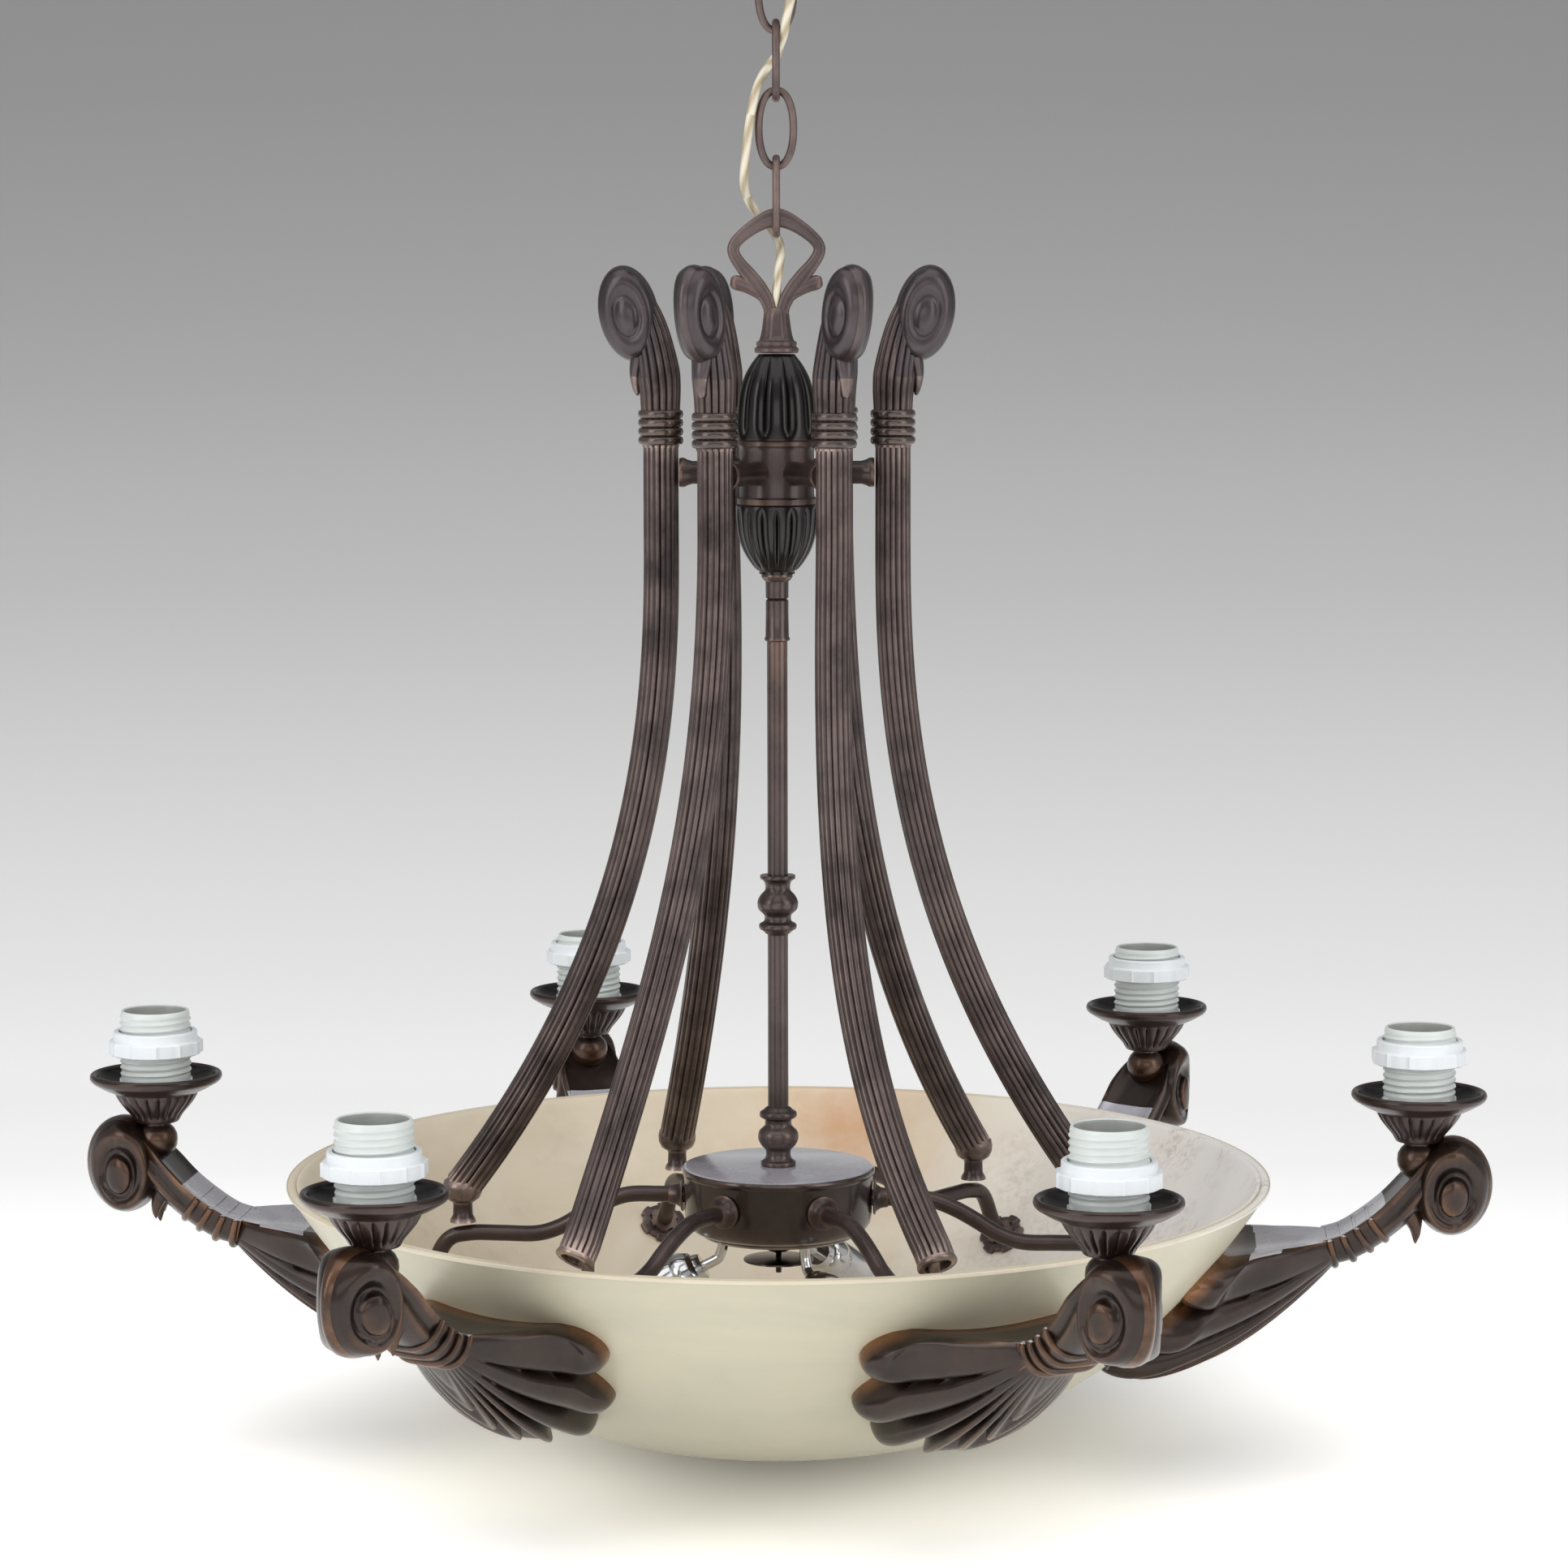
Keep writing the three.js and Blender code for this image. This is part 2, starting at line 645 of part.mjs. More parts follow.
// Lampholders inside the bowl, each on a short bent arm from the hub's cover
function innerHolderGeometry() {
  const tilt = radians(innerHolderTilt);
  const start = new THREE.Vector3(innerHolderReach, 0, 0);
  const knee = new THREE.Vector3(innerHolderReach, 0, -innerHolderDrop);
  const along = new THREE.Vector3(Math.sin(tilt), 0, -Math.cos(tilt));
  const face = knee.clone().addScaledVector(along, innerHolderDrop);
  const shell = revolve([
    [0, 0], [innerHolderRadius * 0.55, 0], [innerHolderRadius * 0.8, innerHolderLength * 0.12],
    [innerHolderRadius, innerHolderLength * 0.3], [innerHolderRadius, innerHolderLength],
    [innerHolderRadius - holderWall, innerHolderLength],
    [innerHolderRadius - holderWall, innerHolderLength * 0.35],
    [0, innerHolderLength * 0.35],
  ], smallSides);
  const turn = new THREE.Quaternion().setFromUnitVectors(new THREE.Vector3(0, 0, 1), along);
  shell.applyQuaternion(turn).translate(face.x, face.y, face.z);
  const neck = rod(start, knee, innerArmRadius, wireSides);
  const reach = rod(
    knee.clone().addScaledVector(along, -innerArmRadius / 2), face.clone().addScaledVector(along, overrun),
    innerArmRadius, wireSides,
  );
  return join([neck, reach, shell]);
}
for (let k = 0; k < innerHolderCount; k += 1) {
  const holder = makeMesh(`inner_lampholder_${k + 1}`, innerHolderGeometry(), 'chrome');
  holder.position.z = hubCoverLevel - hubCoverHeight - seatGap;
  holder.rotation.z = radians(firstInnerHolderAngle + (360 / innerHolderCount) * k);
  group.add(holder);
}

// Wiring tube's line, in its arm's plane, from the hub down and out through the bowl's wall
function tubeLine() {
  const wallDrop = bowlDropAt(tubeWallReach);
  const slope = bowlSlopeAt(tubeWallReach);
  const out = new THREE.Vector3(Math.sin(slope), 0, -Math.cos(slope));
  const wall = new THREE.Vector3(tubeWallReach, 0, -wallDrop);
  const start = new THREE.Vector3(hubRadius - hubLip - hubWall - overrun, 0, -tubeHubDrop);
  return { start, wall, out, end: wall.clone().addScaledVector(out, tubeEndPast) };
}

function bowlDropAt(reach) {
  return bowlDepth * (1 - (reach / bowlRadius) ** bowlCurveShare);
}

// The steepness of the bowl's wall at a reach, from level.
function bowlSlopeAt(reach) {
  const rise = (bowlDepth * bowlCurveShare * (reach / bowlRadius) ** (bowlCurveShare - 1)) / bowlRadius;
  return Math.atan(rise);
}

function tubeGeometry() {
  const { start, wall, out, end } = tubeLine();
  const turn = new THREE.Vector3(stemPlace(stemFootHeight) - tubeTurnIn, 0, -tubeLowDrop);
  const curve = new THREE.CurvePath();
  const bend = new THREE.Vector3(tubeBendReach, 0, -tubeHubDrop);
  const level = new THREE.Vector3(tubeLevelReach, 0, -tubeLowDrop);
  const inner = wall.clone().addScaledVector(out, -bowlWall * 3);
  curve.add(new THREE.LineCurve3(start, bend));
  const half = (tubeBendReach + tubeLevelReach) / 2;
  curve.add(new THREE.CubicBezierCurve3(
    bend, new THREE.Vector3(half, 0, -tubeHubDrop), new THREE.Vector3(half, 0, -tubeLowDrop), level,
  ));
  curve.add(new THREE.LineCurve3(level, turn));
  const knee = turn.clone().add(new THREE.Vector3((inner.x - turn.x) * 0.5, 0, 0));
  curve.add(new THREE.QuadraticBezierCurve3(turn, knee, inner));
  curve.add(new THREE.LineCurve3(inner, end));
  const bar = roundBar(curve, tubeRadius, wireSides, 8);
  const flangeStart = new THREE.Vector3(hubRadius + seatGap, 0, -tubeHubDrop);
  const flangeEnd = flangeStart.clone().add(new THREE.Vector3(tubeFlangeHeight, 0, 0));
  const flange = rod(flangeStart, flangeEnd, tubeFlangeRadius, wireSides);
  const washer = revolve(
    [[0, 0], [washerRadius, 0], [washerRadius, 2 * washerHeight], [0, 2 * washerHeight]], 2 * washerTeeth,
  );
  flute(washer, washerTeeth, washerToothShare, -overrun, 3 * washerHeight);
  washer.applyQuaternion(new THREE.Quaternion().setFromUnitVectors(new THREE.Vector3(0, 0, 1), out));
  const seat = wall.clone().addScaledVector(out, -bowlWall - seatGap - 2 * washerHeight);
  washer.translate(seat.x, seat.y, seat.z);
  const dished = toSolid(washer).intersect(toSolid(bowlInside()));
  return join([bar, flange, toGeometry(dished)]);
}

// Bowl: an even shell of revolution with a hole for each wiring tube
function bowlLine(inset) {
  const line = [];
  for (let k = 0; k <= bowlRings; k += 1) {
    const reach = bowlRadius * Math.cos((Math.PI / 2) * (k / bowlRings));
    const slope = bowlSlopeAt(reach);
    const height = inset * Math.cos(slope) - bowlDropAt(reach);
    line.push([Math.max(reach - inset * Math.sin(slope), 0), Math.min(height, 0)]);
  }
  line[bowlRings] = [0, inset - bowlDepth];
  return line;
}

// The room inside the bowl, with a seat gap, that the washers are dished to.
function bowlInside() {
  const line = bowlLine(bowlWall + seatGap);
  const inward = Math.cos(Math.PI / bowlSides);
  const drawn = line.reverse().map(([reach, height]) => [reach * inward, height]);
  return revolve([...drawn, [0, 0]], 2 * bowlSides);
}

function bowlGeometry() {
  const shell = revolve([...bowlLine(0).reverse(), ...bowlLine(bowlWall)], bowlSides);
  const { wall, out } = tubeLine();
  const holes = [];
  for (let k = 0; k < armCount; k += 1) {
    const from = wall.clone().addScaledVector(out, -bowlWall - 2 * overrun);
    const to = wall.clone().addScaledVector(out, 2 * overrun);
    holes.push(rod(from, to, tubeRadius + boreGap, wireSides).rotateZ(armAngle(k)));
  }
  return join([shell], holes);
}
const bowl = makeMesh('bowl', bowlGeometry(), 'alabaster');
bowl.position.z = rimLevel;
group.add(bowl);

// The bowl's outside with a seat gap, which every arm's shell is cut to
function bowlSeat() {
  const outward = 1 / Math.cos(Math.PI / (2 * bowlSides));
  const line = bowlLine(-seatGap).map(([reach, height]) => [reach * outward, height]);
  const [rimReach] = line[0];
  return revolve([...line.reverse(), [rimReach, overrun], [0, overrun]], 2 * bowlSides);
}

// The limb's upper line in the arm's plane, from the binding up to the scroll.
const limbReachShares = [0, 0.14, 0.3, 0.47, 0.64, 0.8, 1];
const limbRiseShares = [0, 0.06, 0.2, 0.39, 0.64, 0.86, 1];
function limbCurve() {
  const points = limbReachShares.map((share, k) => {
    const reach = shellRootReach + (scrollReach - shellRootReach) * share;
    const rise = -shellRootDrop + (shellRootDrop + scrollHalfHeight * 0.9 - scrollDrop) * limbRiseShares[k];
    return new THREE.Vector3(reach, 0, rise);
  });
  return new THREE.CatmullRomCurve3(points);
}

// A section of the limb: flat on top, rounded below, with a groove along each flank.
const limbShares = [
  [-1, 0], [-1, 0.3], [-0.88, 0.48], [-1, 0.66], [-0.72, 1],
  [0.72, 1], [1, 0.66], [0.88, 0.48], [1, 0.3], [1, 0],
];
function section(top, along, shares, grow = 0) {
  const down = new THREE.Vector3(along.z, 0, -along.x);
  return shares.map(([across, below]) => top.clone()
    .addScaledVector(down, (limbDepth + grow) * below)
    .add(new THREE.Vector3(0, (limbHalfWidth + grow) * across, 0)));
}

function limbGeometry() {
  const curve = limbCurve();
  const length = curve.getLength();
  const ringAt = (u, grow) => section(curve.getPointAt(u), curve.getTangentAt(u), limbShares, grow);
  const rings = [ringAt(0, 0)];
  for (let k = 0; k < bindingRings; k += 1) {
    rings.push(ringAt(((k + 0.5) * bindingPitch) / length, bindingRise));
    rings.push(ringAt(((k + 1) * bindingPitch) / length, 0));
  }
  const bound = (bindingRings * bindingPitch) / length;
  for (let k = 1; k <= limbSteps; k += 1) rings.push(ringAt(bound + (1 - bound) * (k / limbSteps), 0));
  return loft(rings);
}

// Palmette shell: a lobed fan from the binding to a lip on the bowl.
function shellPoint(turn, along, lobeShare) {
  const sine = Math.sin(turn);
  const cosine = Math.cos(turn);
  const root = new THREE.Vector3(
    shellRootReach + overrun + limbDepth * 0.3 * cosine ** 0.6,
    limbHalfWidth * 0.98 * Math.sign(sine) * Math.abs(sine) ** 0.6,
    -shellRootDrop - limbDepth * 0.92 * cosine ** 0.6,
  );
  const lipDrop = shellTopDrop + (shellTipDrop - shellTopDrop) * cosine;
  const lipSide = shellHalfWidth * sine;
  const lipReach = Math.sqrt(bowlReach(lipDrop) ** 2 - lipSide ** 2) - bowlWall * 0.7;
  const lip = new THREE.Vector3(lipReach, lipSide, -lipDrop);
  const belly = new THREE.Vector3(
    shellBellyReach + (shellRootReach - shellBellyReach) * 0.5 * (1 - cosine),
    shellHalfWidth * 0.82 * sine,
    -shellTopDrop - (shellBellyDrop - shellTopDrop) * cosine,
  );
  const place = new THREE.QuadraticBezierCurve3(root, belly, lip).getPoint(along);
  const spineReach = shellRootReach - (shellRootReach - bowlReach(shellTopDrop)) * along;
  const spine = new THREE.Vector3(spineReach, 0, -shellTopDrop);
  const swell = lobeShare * Math.min(along * 2, 1);
  return spine.clone().lerp(place, 1 - swell);
}

function shellGeometry() {
  const rings = [];
  const lines = 2 * shellLobes;
  for (let s = 0; s <= shellSteps; s += 1) {
    const ring = [];
    for (let i = 0; i <= lines; i += 1) {
      const turn = -Math.PI / 2 + (Math.PI * i) / lines;
      const valley = i % 2 === 0 && i > 0 && i < lines;
      ring.push(shellPoint(turn, s / shellSteps, valley ? shellLobeShare : 0));
    }
    rings.push(ring);
  }
  return loft(rings);
}

// Scroll: an oval drum across the arm's end, dished round a boss on both faces.
function scrollGeometries() {
  const outline = new THREE.Shape();
  outline.absellipse(0, 0, scrollHalfLength, scrollHalfHeight, 0, 2 * Math.PI, false, scrollTiltShare);
  const bevel = scrollBossRise;
  const drum = new THREE.ExtrudeGeometry(outline, {
    depth: 2 * (limbHalfWidth - bevel), curveSegments: 7, bevelEnabled: true, bevelThickness: bevel,
    bevelSize: bevel, bevelOffset: -bevel, bevelSegments: 1,
  });
  drum.rotateX(Math.PI / 2).translate(scrollReach, limbHalfWidth - bevel, -scrollDrop);
  const eye = new THREE.Vector3(scrollReach + scrollHalfLength * 0.1, 0, -scrollDrop - scrollHalfHeight * 0.2);
  const at = (side) => eye.clone().add(new THREE.Vector3(0, side, 0));
  const floor = limbHalfWidth - scrollRecessDepth;
  const recesses = [-1, 1].map((side) => rod(
    at(side * floor), at(side * (limbHalfWidth + overrun)), scrollRecessRadius, smallSides,
  ));
  const bossEnd = limbHalfWidth + scrollBossRise;
  const boss = rod(at(-bossEnd), at(bossEnd), scrollBossRadius, smallSides);
  return { drum, recesses, boss };
}

function armGeometry() {
  const { drum, recesses, boss } = scrollGeometries();
  const ball = new THREE.SphereGeometry(seatBallRadius, wireSides, 6).rotateX(Math.PI / 2);
  ball.translate(panReach, 0, seatBallHeight);
  const seatCut = rod(
    new THREE.Vector3(panReach, 0, cupFootHeight - seatGap),
    new THREE.Vector3(panReach, 0, cupFootHeight + cupTopRadius),
    cupTopRadius, smallSides,
  );
  const spur = rod(
    new THREE.Vector3(spurReach, 0, -spurDrop + 2 * spurBase), new THREE.Vector3(spurReach, 0, -spurDrop),
    spurBase, wireSides, spurTip,
  );
  spur.scale(1, spurHalfWidth / spurBase, 1);
  const { wall, out, end } = tubeLine();
  const from = wall.clone().addScaledVector(out, -bowlWall);
  const socket = rod(from, end.clone().addScaledVector(out, seatGap), tubeRadius + boreGap, wireSides);
  const body = join([limbGeometry(), drum, spur, shellGeometry()], recesses);
  return join([body, boss, ball], [seatCut, bowlSeat(), socket]);
}

// Drip pan: a fluted cup under a wide shallow dish with a rolled rim, revolved about the lamp's own line
function panGeometry() {
  const dish = panRimHeight - panDepth;
  const floor = dish + panWall;
  const pan = revolve([
    [0, cupFootHeight], [cupFootRadius, cupFootHeight], [cupFootRadius * 1.15, cupFootHeight + panWall],
    [cupTopRadius * 0.8, dish - panDepth * 0.35], [cupTopRadius, dish],
    [panRadius - panRimBead, panRimHeight - 2.2 * panRimBead],
    [panRadius, panRimHeight - panRimBead], [panRadius - panRimBead * 0.4, panRimHeight],
    [panRadius - panRimBead * 1.6, panRimHeight - panRimBead * 0.6], [cupTopRadius, floor], [0, floor],
  ], 2 * cupFlutes);
  return flute(pan, cupFlutes, fluteShare, cupFootHeight + overrun / 2, dish - overrun / 2);
}

// Lampholder: a threaded insulating barrel with the contact inside
function holderGeometry() {
  const foot = panRimHeight - panDepth + panWall + seatGap;
  const top = panRimHeight + holderTopAboveRim;
  const bore = holderRadius - holderWall;
  return revolve([
    [0, foot], [holderRadius, foot], [holderRadius, top - holderWall],
    [holderRadius - holderWall * 0.4, top], [bore, top], [bore, foot + holderFloor],
    [holderContactRadius, foot + holderFloor],
    [holderContactRadius, foot + holderFloor + holderContactRise], [0, foot + holderFloor + holderContactRise],
  ], smallSides);
}

// Shade ring: a nut on the barrel's thread with grip ribs and a narrower collar on top
function ringGeometry() {
  const bore = (holderRadius + ringInnerGap) / Math.cos(Math.PI / (2 * smallSides));
  const collar = ringHeight * (0.5 - ringCollarShare);
  return revolveRing([
    [bore, -ringHeight / 2], [ringRadius, -ringHeight / 2], [ringRadius, collar],
    [ringCollarRadius, ringHeight / 2], [bore, ringHeight / 2],
  ], smallSides);
}

// Stem's middle line at a height above the rim: how far out, and how far it has turned to its foot.
function stemPlace(height) {
  const angle = radians(stemBendAngle);
  const drop = Math.max(stemBendTop - height, 0);
  const bendDrop = stemBendRadius * Math.sin(angle);
  const past = Math.max(drop - bendDrop, 0);
  const within = Math.min(drop, bendDrop);
  return stemReach + stemBendRadius - Math.sqrt(stemBendRadius ** 2 - within ** 2) + past * Math.tan(angle);
}

function stemCentre(height, setOff) {
  const reach = stemPlace(height);
  const share = Math.max(stemBendTop - height, 0) / (stemBendTop - stemFootHeight);
  const turn = setOff * share;
  return new THREE.Vector3(reach * Math.cos(turn), reach * Math.sin(turn), height);
}

function reededRing(centre, along, radius, share) {
  const side = new THREE.Vector3(0, 1, 0);
  const out = new THREE.Vector3().crossVectors(side, along).normalize();
  const across = new THREE.Vector3().crossVectors(along, out).normalize();
  const ring = [];
  for (let i = 0; i < 2 * stemReeds; i += 1) {
    const angle = (Math.PI * i) / stemReeds;
    const reach = radius * (i % 2 === 0 ? 1 : 1 - share);
    const place = centre.clone().addScaledVector(out, reach * Math.cos(angle));
    ring.push(place.addScaledVector(across, reach * Math.sin(angle)));
  }
  return ring;
}

function stemGeometry(setOff) {
  const upright = new THREE.Vector3(0, 0, -1);
  const rings = [];
  const straight = (height, radius, share) => {
    rings.push(reededRing(new THREE.Vector3(stemReach, 0, height), upright, radius, share));
  };
  straight(headHeight, headNeckRadius * 0.8, 0);
  straight(headBottom, headNeckRadius, reedShare);
  straight(collarTop + collarPitch / 2, stemRadius * 1.08, reedShare);
  for (let k = 0; k < collarRings; k += 1) {
    const level = collarTop - k * collarPitch;
    straight(level, stemRadius, 0);
    straight(level - collarPitch * 0.5, stemRadius + collarRise, 0);
  }
  const collarFoot = collarTop - collarRings * collarPitch;
  straight(collarFoot, stemRadius, reedShare);
  const steps = 6;
  for (let k = 0; k <= steps; k += 1) {
    const height = stemBendTop + (stemFootHeight - stemBendTop) * (k / steps);
    const above = stemCentre(height + slopeStep, setOff);
    const ahead = stemCentre(height - slopeStep, setOff).sub(above).normalize();
    const radius = stemRadius + (stemFootRadius - stemRadius) * (k / steps);
    rings.push(reededRing(stemCentre(height, setOff), ahead, radius, reedShare));
  }
  const tube = loft(rings);
  const outline = new THREE.Shape();
  outline.absellipse(0, 0, headHalfLength, headHalfHeight, 0, 2 * Math.PI, false, radians(headTilt));
  const bevel = headBossRise * 2;
  const head = new THREE.ExtrudeGeometry(outline, {
    depth: 2 * (headHalfWidth - bevel), curveSegments: 5, bevelEnabled: true, bevelThickness: bevel,
    bevelSize: bevel, bevelOffset: -bevel, bevelSegments: 1,
  });
  head.rotateX(Math.PI / 2).translate(headReach, headHalfWidth - bevel, headHeight);
  const boss = rod(
    new THREE.Vector3(0, -headHalfWidth - headBossRise, 0), new THREE.Vector3(0, headHalfWidth + headBossRise, 0),
    headBossRadius, wireSides,
  );
  boss.scale(1, 1, headBossStretch).translate(headReach, 0, headHeight);
  const foot = stemCentre(stemFootHeight, setOff);
  const ball = new THREE.SphereGeometry(footBallRadius, wireSides, 5);
  ball.translate(foot.x, foot.y, foot.z - footBallRadius * 0.4);
  const neckEnd = new THREE.Vector3(foot.x, foot.y, -tubeLowDrop + tubeRadius * 1.3 + seatGap);
  const neck = rod(foot, neckEnd, footNeckRadius, wireSides);
  return join([tube, head, boss, ball, neck]);
}

const armShape = armGeometry();
const panShape = panGeometry();
const holderShape = holderGeometry();
const ringShape = ringGeometry();
const tubeShape = tubeGeometry();

for (let k = 0; k < armCount; k += 1) {
  const arm = new THREE.Group();
  arm.rotation.z = armAngle(k);
  arm.position.z = rimLevel;
  arm.add(makeMesh(`arm_${k + 1}`, armShape, 'bronze'));
  arm.add(makeMesh(`wiring_tube_${k + 1}`, tubeShape, 'bronze'));
  const pan = makeMesh(`drip_pan_${k + 1}`, panShape, 'bronze');
  const holder = makeMesh(`lampholder_${k + 1}`, holderShape, 'white');
  const ring = makeMesh(`shade_ring_${k + 1}`, ringShape, 'white');
  ring.position.z = panRimHeight + ringRises[k];
  for (const piece of [pan, holder, ring]) {
    piece.position.x = panReach;
    arm.add(piece);
  }
  group.add(arm);
  const stem = makeMesh(`stem_${k + 1}`, stemGeometry(radians(armSetOffs[k])), 'bronze');
  stem.position.z = rimLevel;
  stem.rotation.z = stemAngle(k);
  group.add(stem);
}

// Flex: one line through the chain, in stretches that meet where each link carries it
const flexCurve = new THREE.CatmullRomCurve3(flexRoute.map((p) => new THREE.Vector3(...p)));
class Stretch extends THREE.Curve {
  constructor(from, to) {
    super();
    this.from = from;
    this.to = to;
  }

  getPoint(share) {
    return flexCurve.getPoint(this.from + (this.to - this.from) * share);
  }
}
const flexEnds = [0, ...flexJoins, flexRoute.length - 1];
for (let k = 0; k + 1 < flexEnds.length; k += 1) {
  const spans = flexRoute.length - 1;
  const trim = seatGap / 2 / flexPointGap / spans;
  const stretch = new Stretch(flexEnds[k] / spans + trim, flexEnds[k + 1] / spans - trim);
  const steps = flexEnds[k + 1] - flexEnds[k];
  group.add(makeMesh(`flex_${k + 1}`, roundBar(stretch, flexDiameter / 2, flexSides, steps), 'flex'));
}

export default group;
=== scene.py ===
import math

import bmesh
import bpy
from mathutils import Matrix, Vector


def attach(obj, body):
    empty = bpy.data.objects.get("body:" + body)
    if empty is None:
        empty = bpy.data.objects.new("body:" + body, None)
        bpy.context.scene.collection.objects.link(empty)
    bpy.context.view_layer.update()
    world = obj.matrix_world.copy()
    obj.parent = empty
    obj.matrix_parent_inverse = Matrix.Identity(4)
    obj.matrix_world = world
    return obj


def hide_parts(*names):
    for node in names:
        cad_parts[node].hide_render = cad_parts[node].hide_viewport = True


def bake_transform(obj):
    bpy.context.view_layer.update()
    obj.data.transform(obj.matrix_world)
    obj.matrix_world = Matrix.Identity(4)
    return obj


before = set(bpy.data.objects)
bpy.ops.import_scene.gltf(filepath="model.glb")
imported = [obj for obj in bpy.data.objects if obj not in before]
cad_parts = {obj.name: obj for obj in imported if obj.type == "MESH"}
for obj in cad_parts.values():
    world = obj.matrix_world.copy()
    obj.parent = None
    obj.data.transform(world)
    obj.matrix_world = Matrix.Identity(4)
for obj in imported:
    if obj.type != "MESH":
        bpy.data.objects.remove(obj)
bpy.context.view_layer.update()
scene = bpy.context.scene
scene.view_settings.view_transform = "Standard"

# The studio: a pale floor that curves up into a wall, lit by soft boxes from the front and above.
# The paper runs from white at the front to mid grey at the top of the wall.
# Its back can be seen through, so that the light can be looked at from behind.
lens = bpy.data.cameras.new("studio_camera")
lens.lens, lens.sensor_width = 102.26, 36
camera = bpy.data.objects.new("studio_camera", lens)
camera.matrix_world = (
    Matrix.Translation((0.00355, -2.43217, -0.22001))
    @ Matrix.Rotation(math.radians(83.6), 4, "X")
    @ Matrix.Rotation(math.radians(-0.12), 4, "Z")
)
scene.collection.objects.link(camera)
scene.camera = camera


class Signal:
    """One value on its way through a finish; sums and products of signals add the maths nodes."""

    def __init__(self, finish, socket):
        self.finish, self.socket = finish, socket

    def maths(self, operation, first, second=0.0):
        return self.finish.node("Math", {"operation": operation}, {0: first, 1: second})

    def __add__(self, other):
        return self.maths("ADD", self, other)

    def __sub__(self, other):
        return self.maths("SUBTRACT", self, other)

    def __rsub__(self, other):
        return self.maths("SUBTRACT", other, self)

    def __mul__(self, other):
        return self.maths("MULTIPLY", self, other)

    def __pow__(self, other):
        return self.maths("POWER", self, other)

    __radd__, __rmul__ = __add__, __mul__

    def held(self):
        """The value kept between 0 and 1."""
        return self.finish.node("Clamp", {}, {0: self})


class Finish:
    """A procedural finish: its nodes come from one method, and shader is the surface's own node."""

    def __init__(self, name, **surface):
        self.material = bpy.data.materials.new(name)
        self.material.use_nodes = True
        self.tree = self.material.node_tree
        self.shader = self.tree.nodes["Principled BSDF"]
        self.place = self.node("TexCoord", {}, {}, "Object")
        self.dress(**surface)

    def node(self, kind, settings, sockets, out=0):
        made = self.tree.nodes.new("ShaderNode" + kind)
        for key, value in settings.items():
            if key == "stops":
                ramp = made.color_ramp
                ramp.elements.remove(ramp.elements[1])
                ramp.elements[0].position, ramp.elements[0].color = value[0][0], (*value[0][1], 1)
                for spot, colour in value[1:]:
                    ramp.elements.new(spot).color = (*colour, 1)
            else:
                setattr(made, key, value)
        for key, value in sockets.items():
            if isinstance(value, Signal):
                self.tree.links.new(value.socket, made.inputs[key])
            else:
                made.inputs[key].default_value = value
        return Signal(self, made.outputs[out])

    def dress(self, **surface):
        """Sets the surface's own sockets, each with a value or a signal."""
        for key, value in surface.items():
            socket = self.shader.inputs[key.replace("_", " ")]
            if isinstance(value, Signal):
                self.tree.links.new(value.socket, socket)
            else:
                socket.default_value = value

    def cloud(self, scale, detail=4.0, rough=0.55, stretch=None):
        """Soft noise from 0 to 1 at a number of blotches a metre."""
        place = self.place
        if stretch:
            place = self.node("Mapping", {}, {"Vector": place, "Scale": stretch})
        return self.node("TexNoise", {}, {"Vector": place, "Scale": scale, "Detail": detail, "Roughness": rough})

    def blend(self, share, first, second):
        """A colour between two, by a share from 0 to 1."""
        return self.node("Mix", {"data_type": "RGBA"}, {0: share, 6: first, 7: second}, 2)

    def grain(self, height, depth, strength=1.0):
        """A bump of that depth in metres, set as the surface's normal."""
        bump = self.node("Bump", {}, {"Height": height, "Distance": depth, "Strength": strength})
        self.dress(Normal=bump)


def tone(red, green, blue):
    """A colour from its levels on a screen, 0 to 255."""
    def linear(level):
        level /= 255
        return level / 12.92 if level <= 0.04045 else ((level + 0.055) / 1.055) ** 2.4
    return (linear(red), linear(green), linear(blue), 1)


floor_level = -0.87
paper_bend = 1.4
paper_line = [(-7.0, floor_level)]
for step in range(25):
    angle = math.pi / 2 * step / 24
    paper_line.append((1.1 + paper_bend * math.sin(angle), floor_level + paper_bend * (1 - math.cos(angle))))
paper_line.append((2.5, 3.0))
paper = bmesh.new()
corners = [paper.verts.new((-5, y, z)) for y, z in paper_line]
edges = [paper.edges.new(pair) for pair in zip(corners, corners[1:])]
grown = bmesh.ops.extrude_edge_only(paper, edges=edges)["geom"]
bmesh.ops.translate(paper, vec=(10, 0, 0), verts=[g for g in grown if isinstance(g, bmesh.types.BMVert)])
bmesh.ops.recalc_face_normals(paper, faces=paper.faces)
if next(iter(paper.faces)).normal.z < 0:
    bmesh.ops.reverse_faces(paper, faces=paper.faces)
paper_mesh = bpy.data.meshes.new("paper_sweep")
paper.to_mesh(paper_mesh)
paper.free()
paper_mesh.shade_smooth()
paper_finish = Finish("studio_paper", Roughness=1.0, Specular_IOR_Level=0.0)
split = paper_finish.node("SeparateXYZ", {}, {0: paper_finish.place}, "Y")
height = Signal(paper_finish, split.socket.node.outputs["Z"])
along = split + (height - floor_level)
greys = [(0.0, 254), (0.21, 248), (0.48, 232), (0.81, 217), (1.2, 216), (1.5, 202), (1.75, 192), (1.97, 182),
         (2.18, 171), (2.38, 160), (2.57, 152), (2.75, 142.5), (2.92, 135), (3.08, 129), (3.24, 123), (3.38, 120),
         (4.0, 110)]
shade = paper_finish.node(
    "ValToRGB", {"stops": [(spot / 4, tone(grey, grey, grey)[:3]) for spot, grey in greys]}, {0: along * 0.25})
paper_finish.dress(Base_Color=shade)
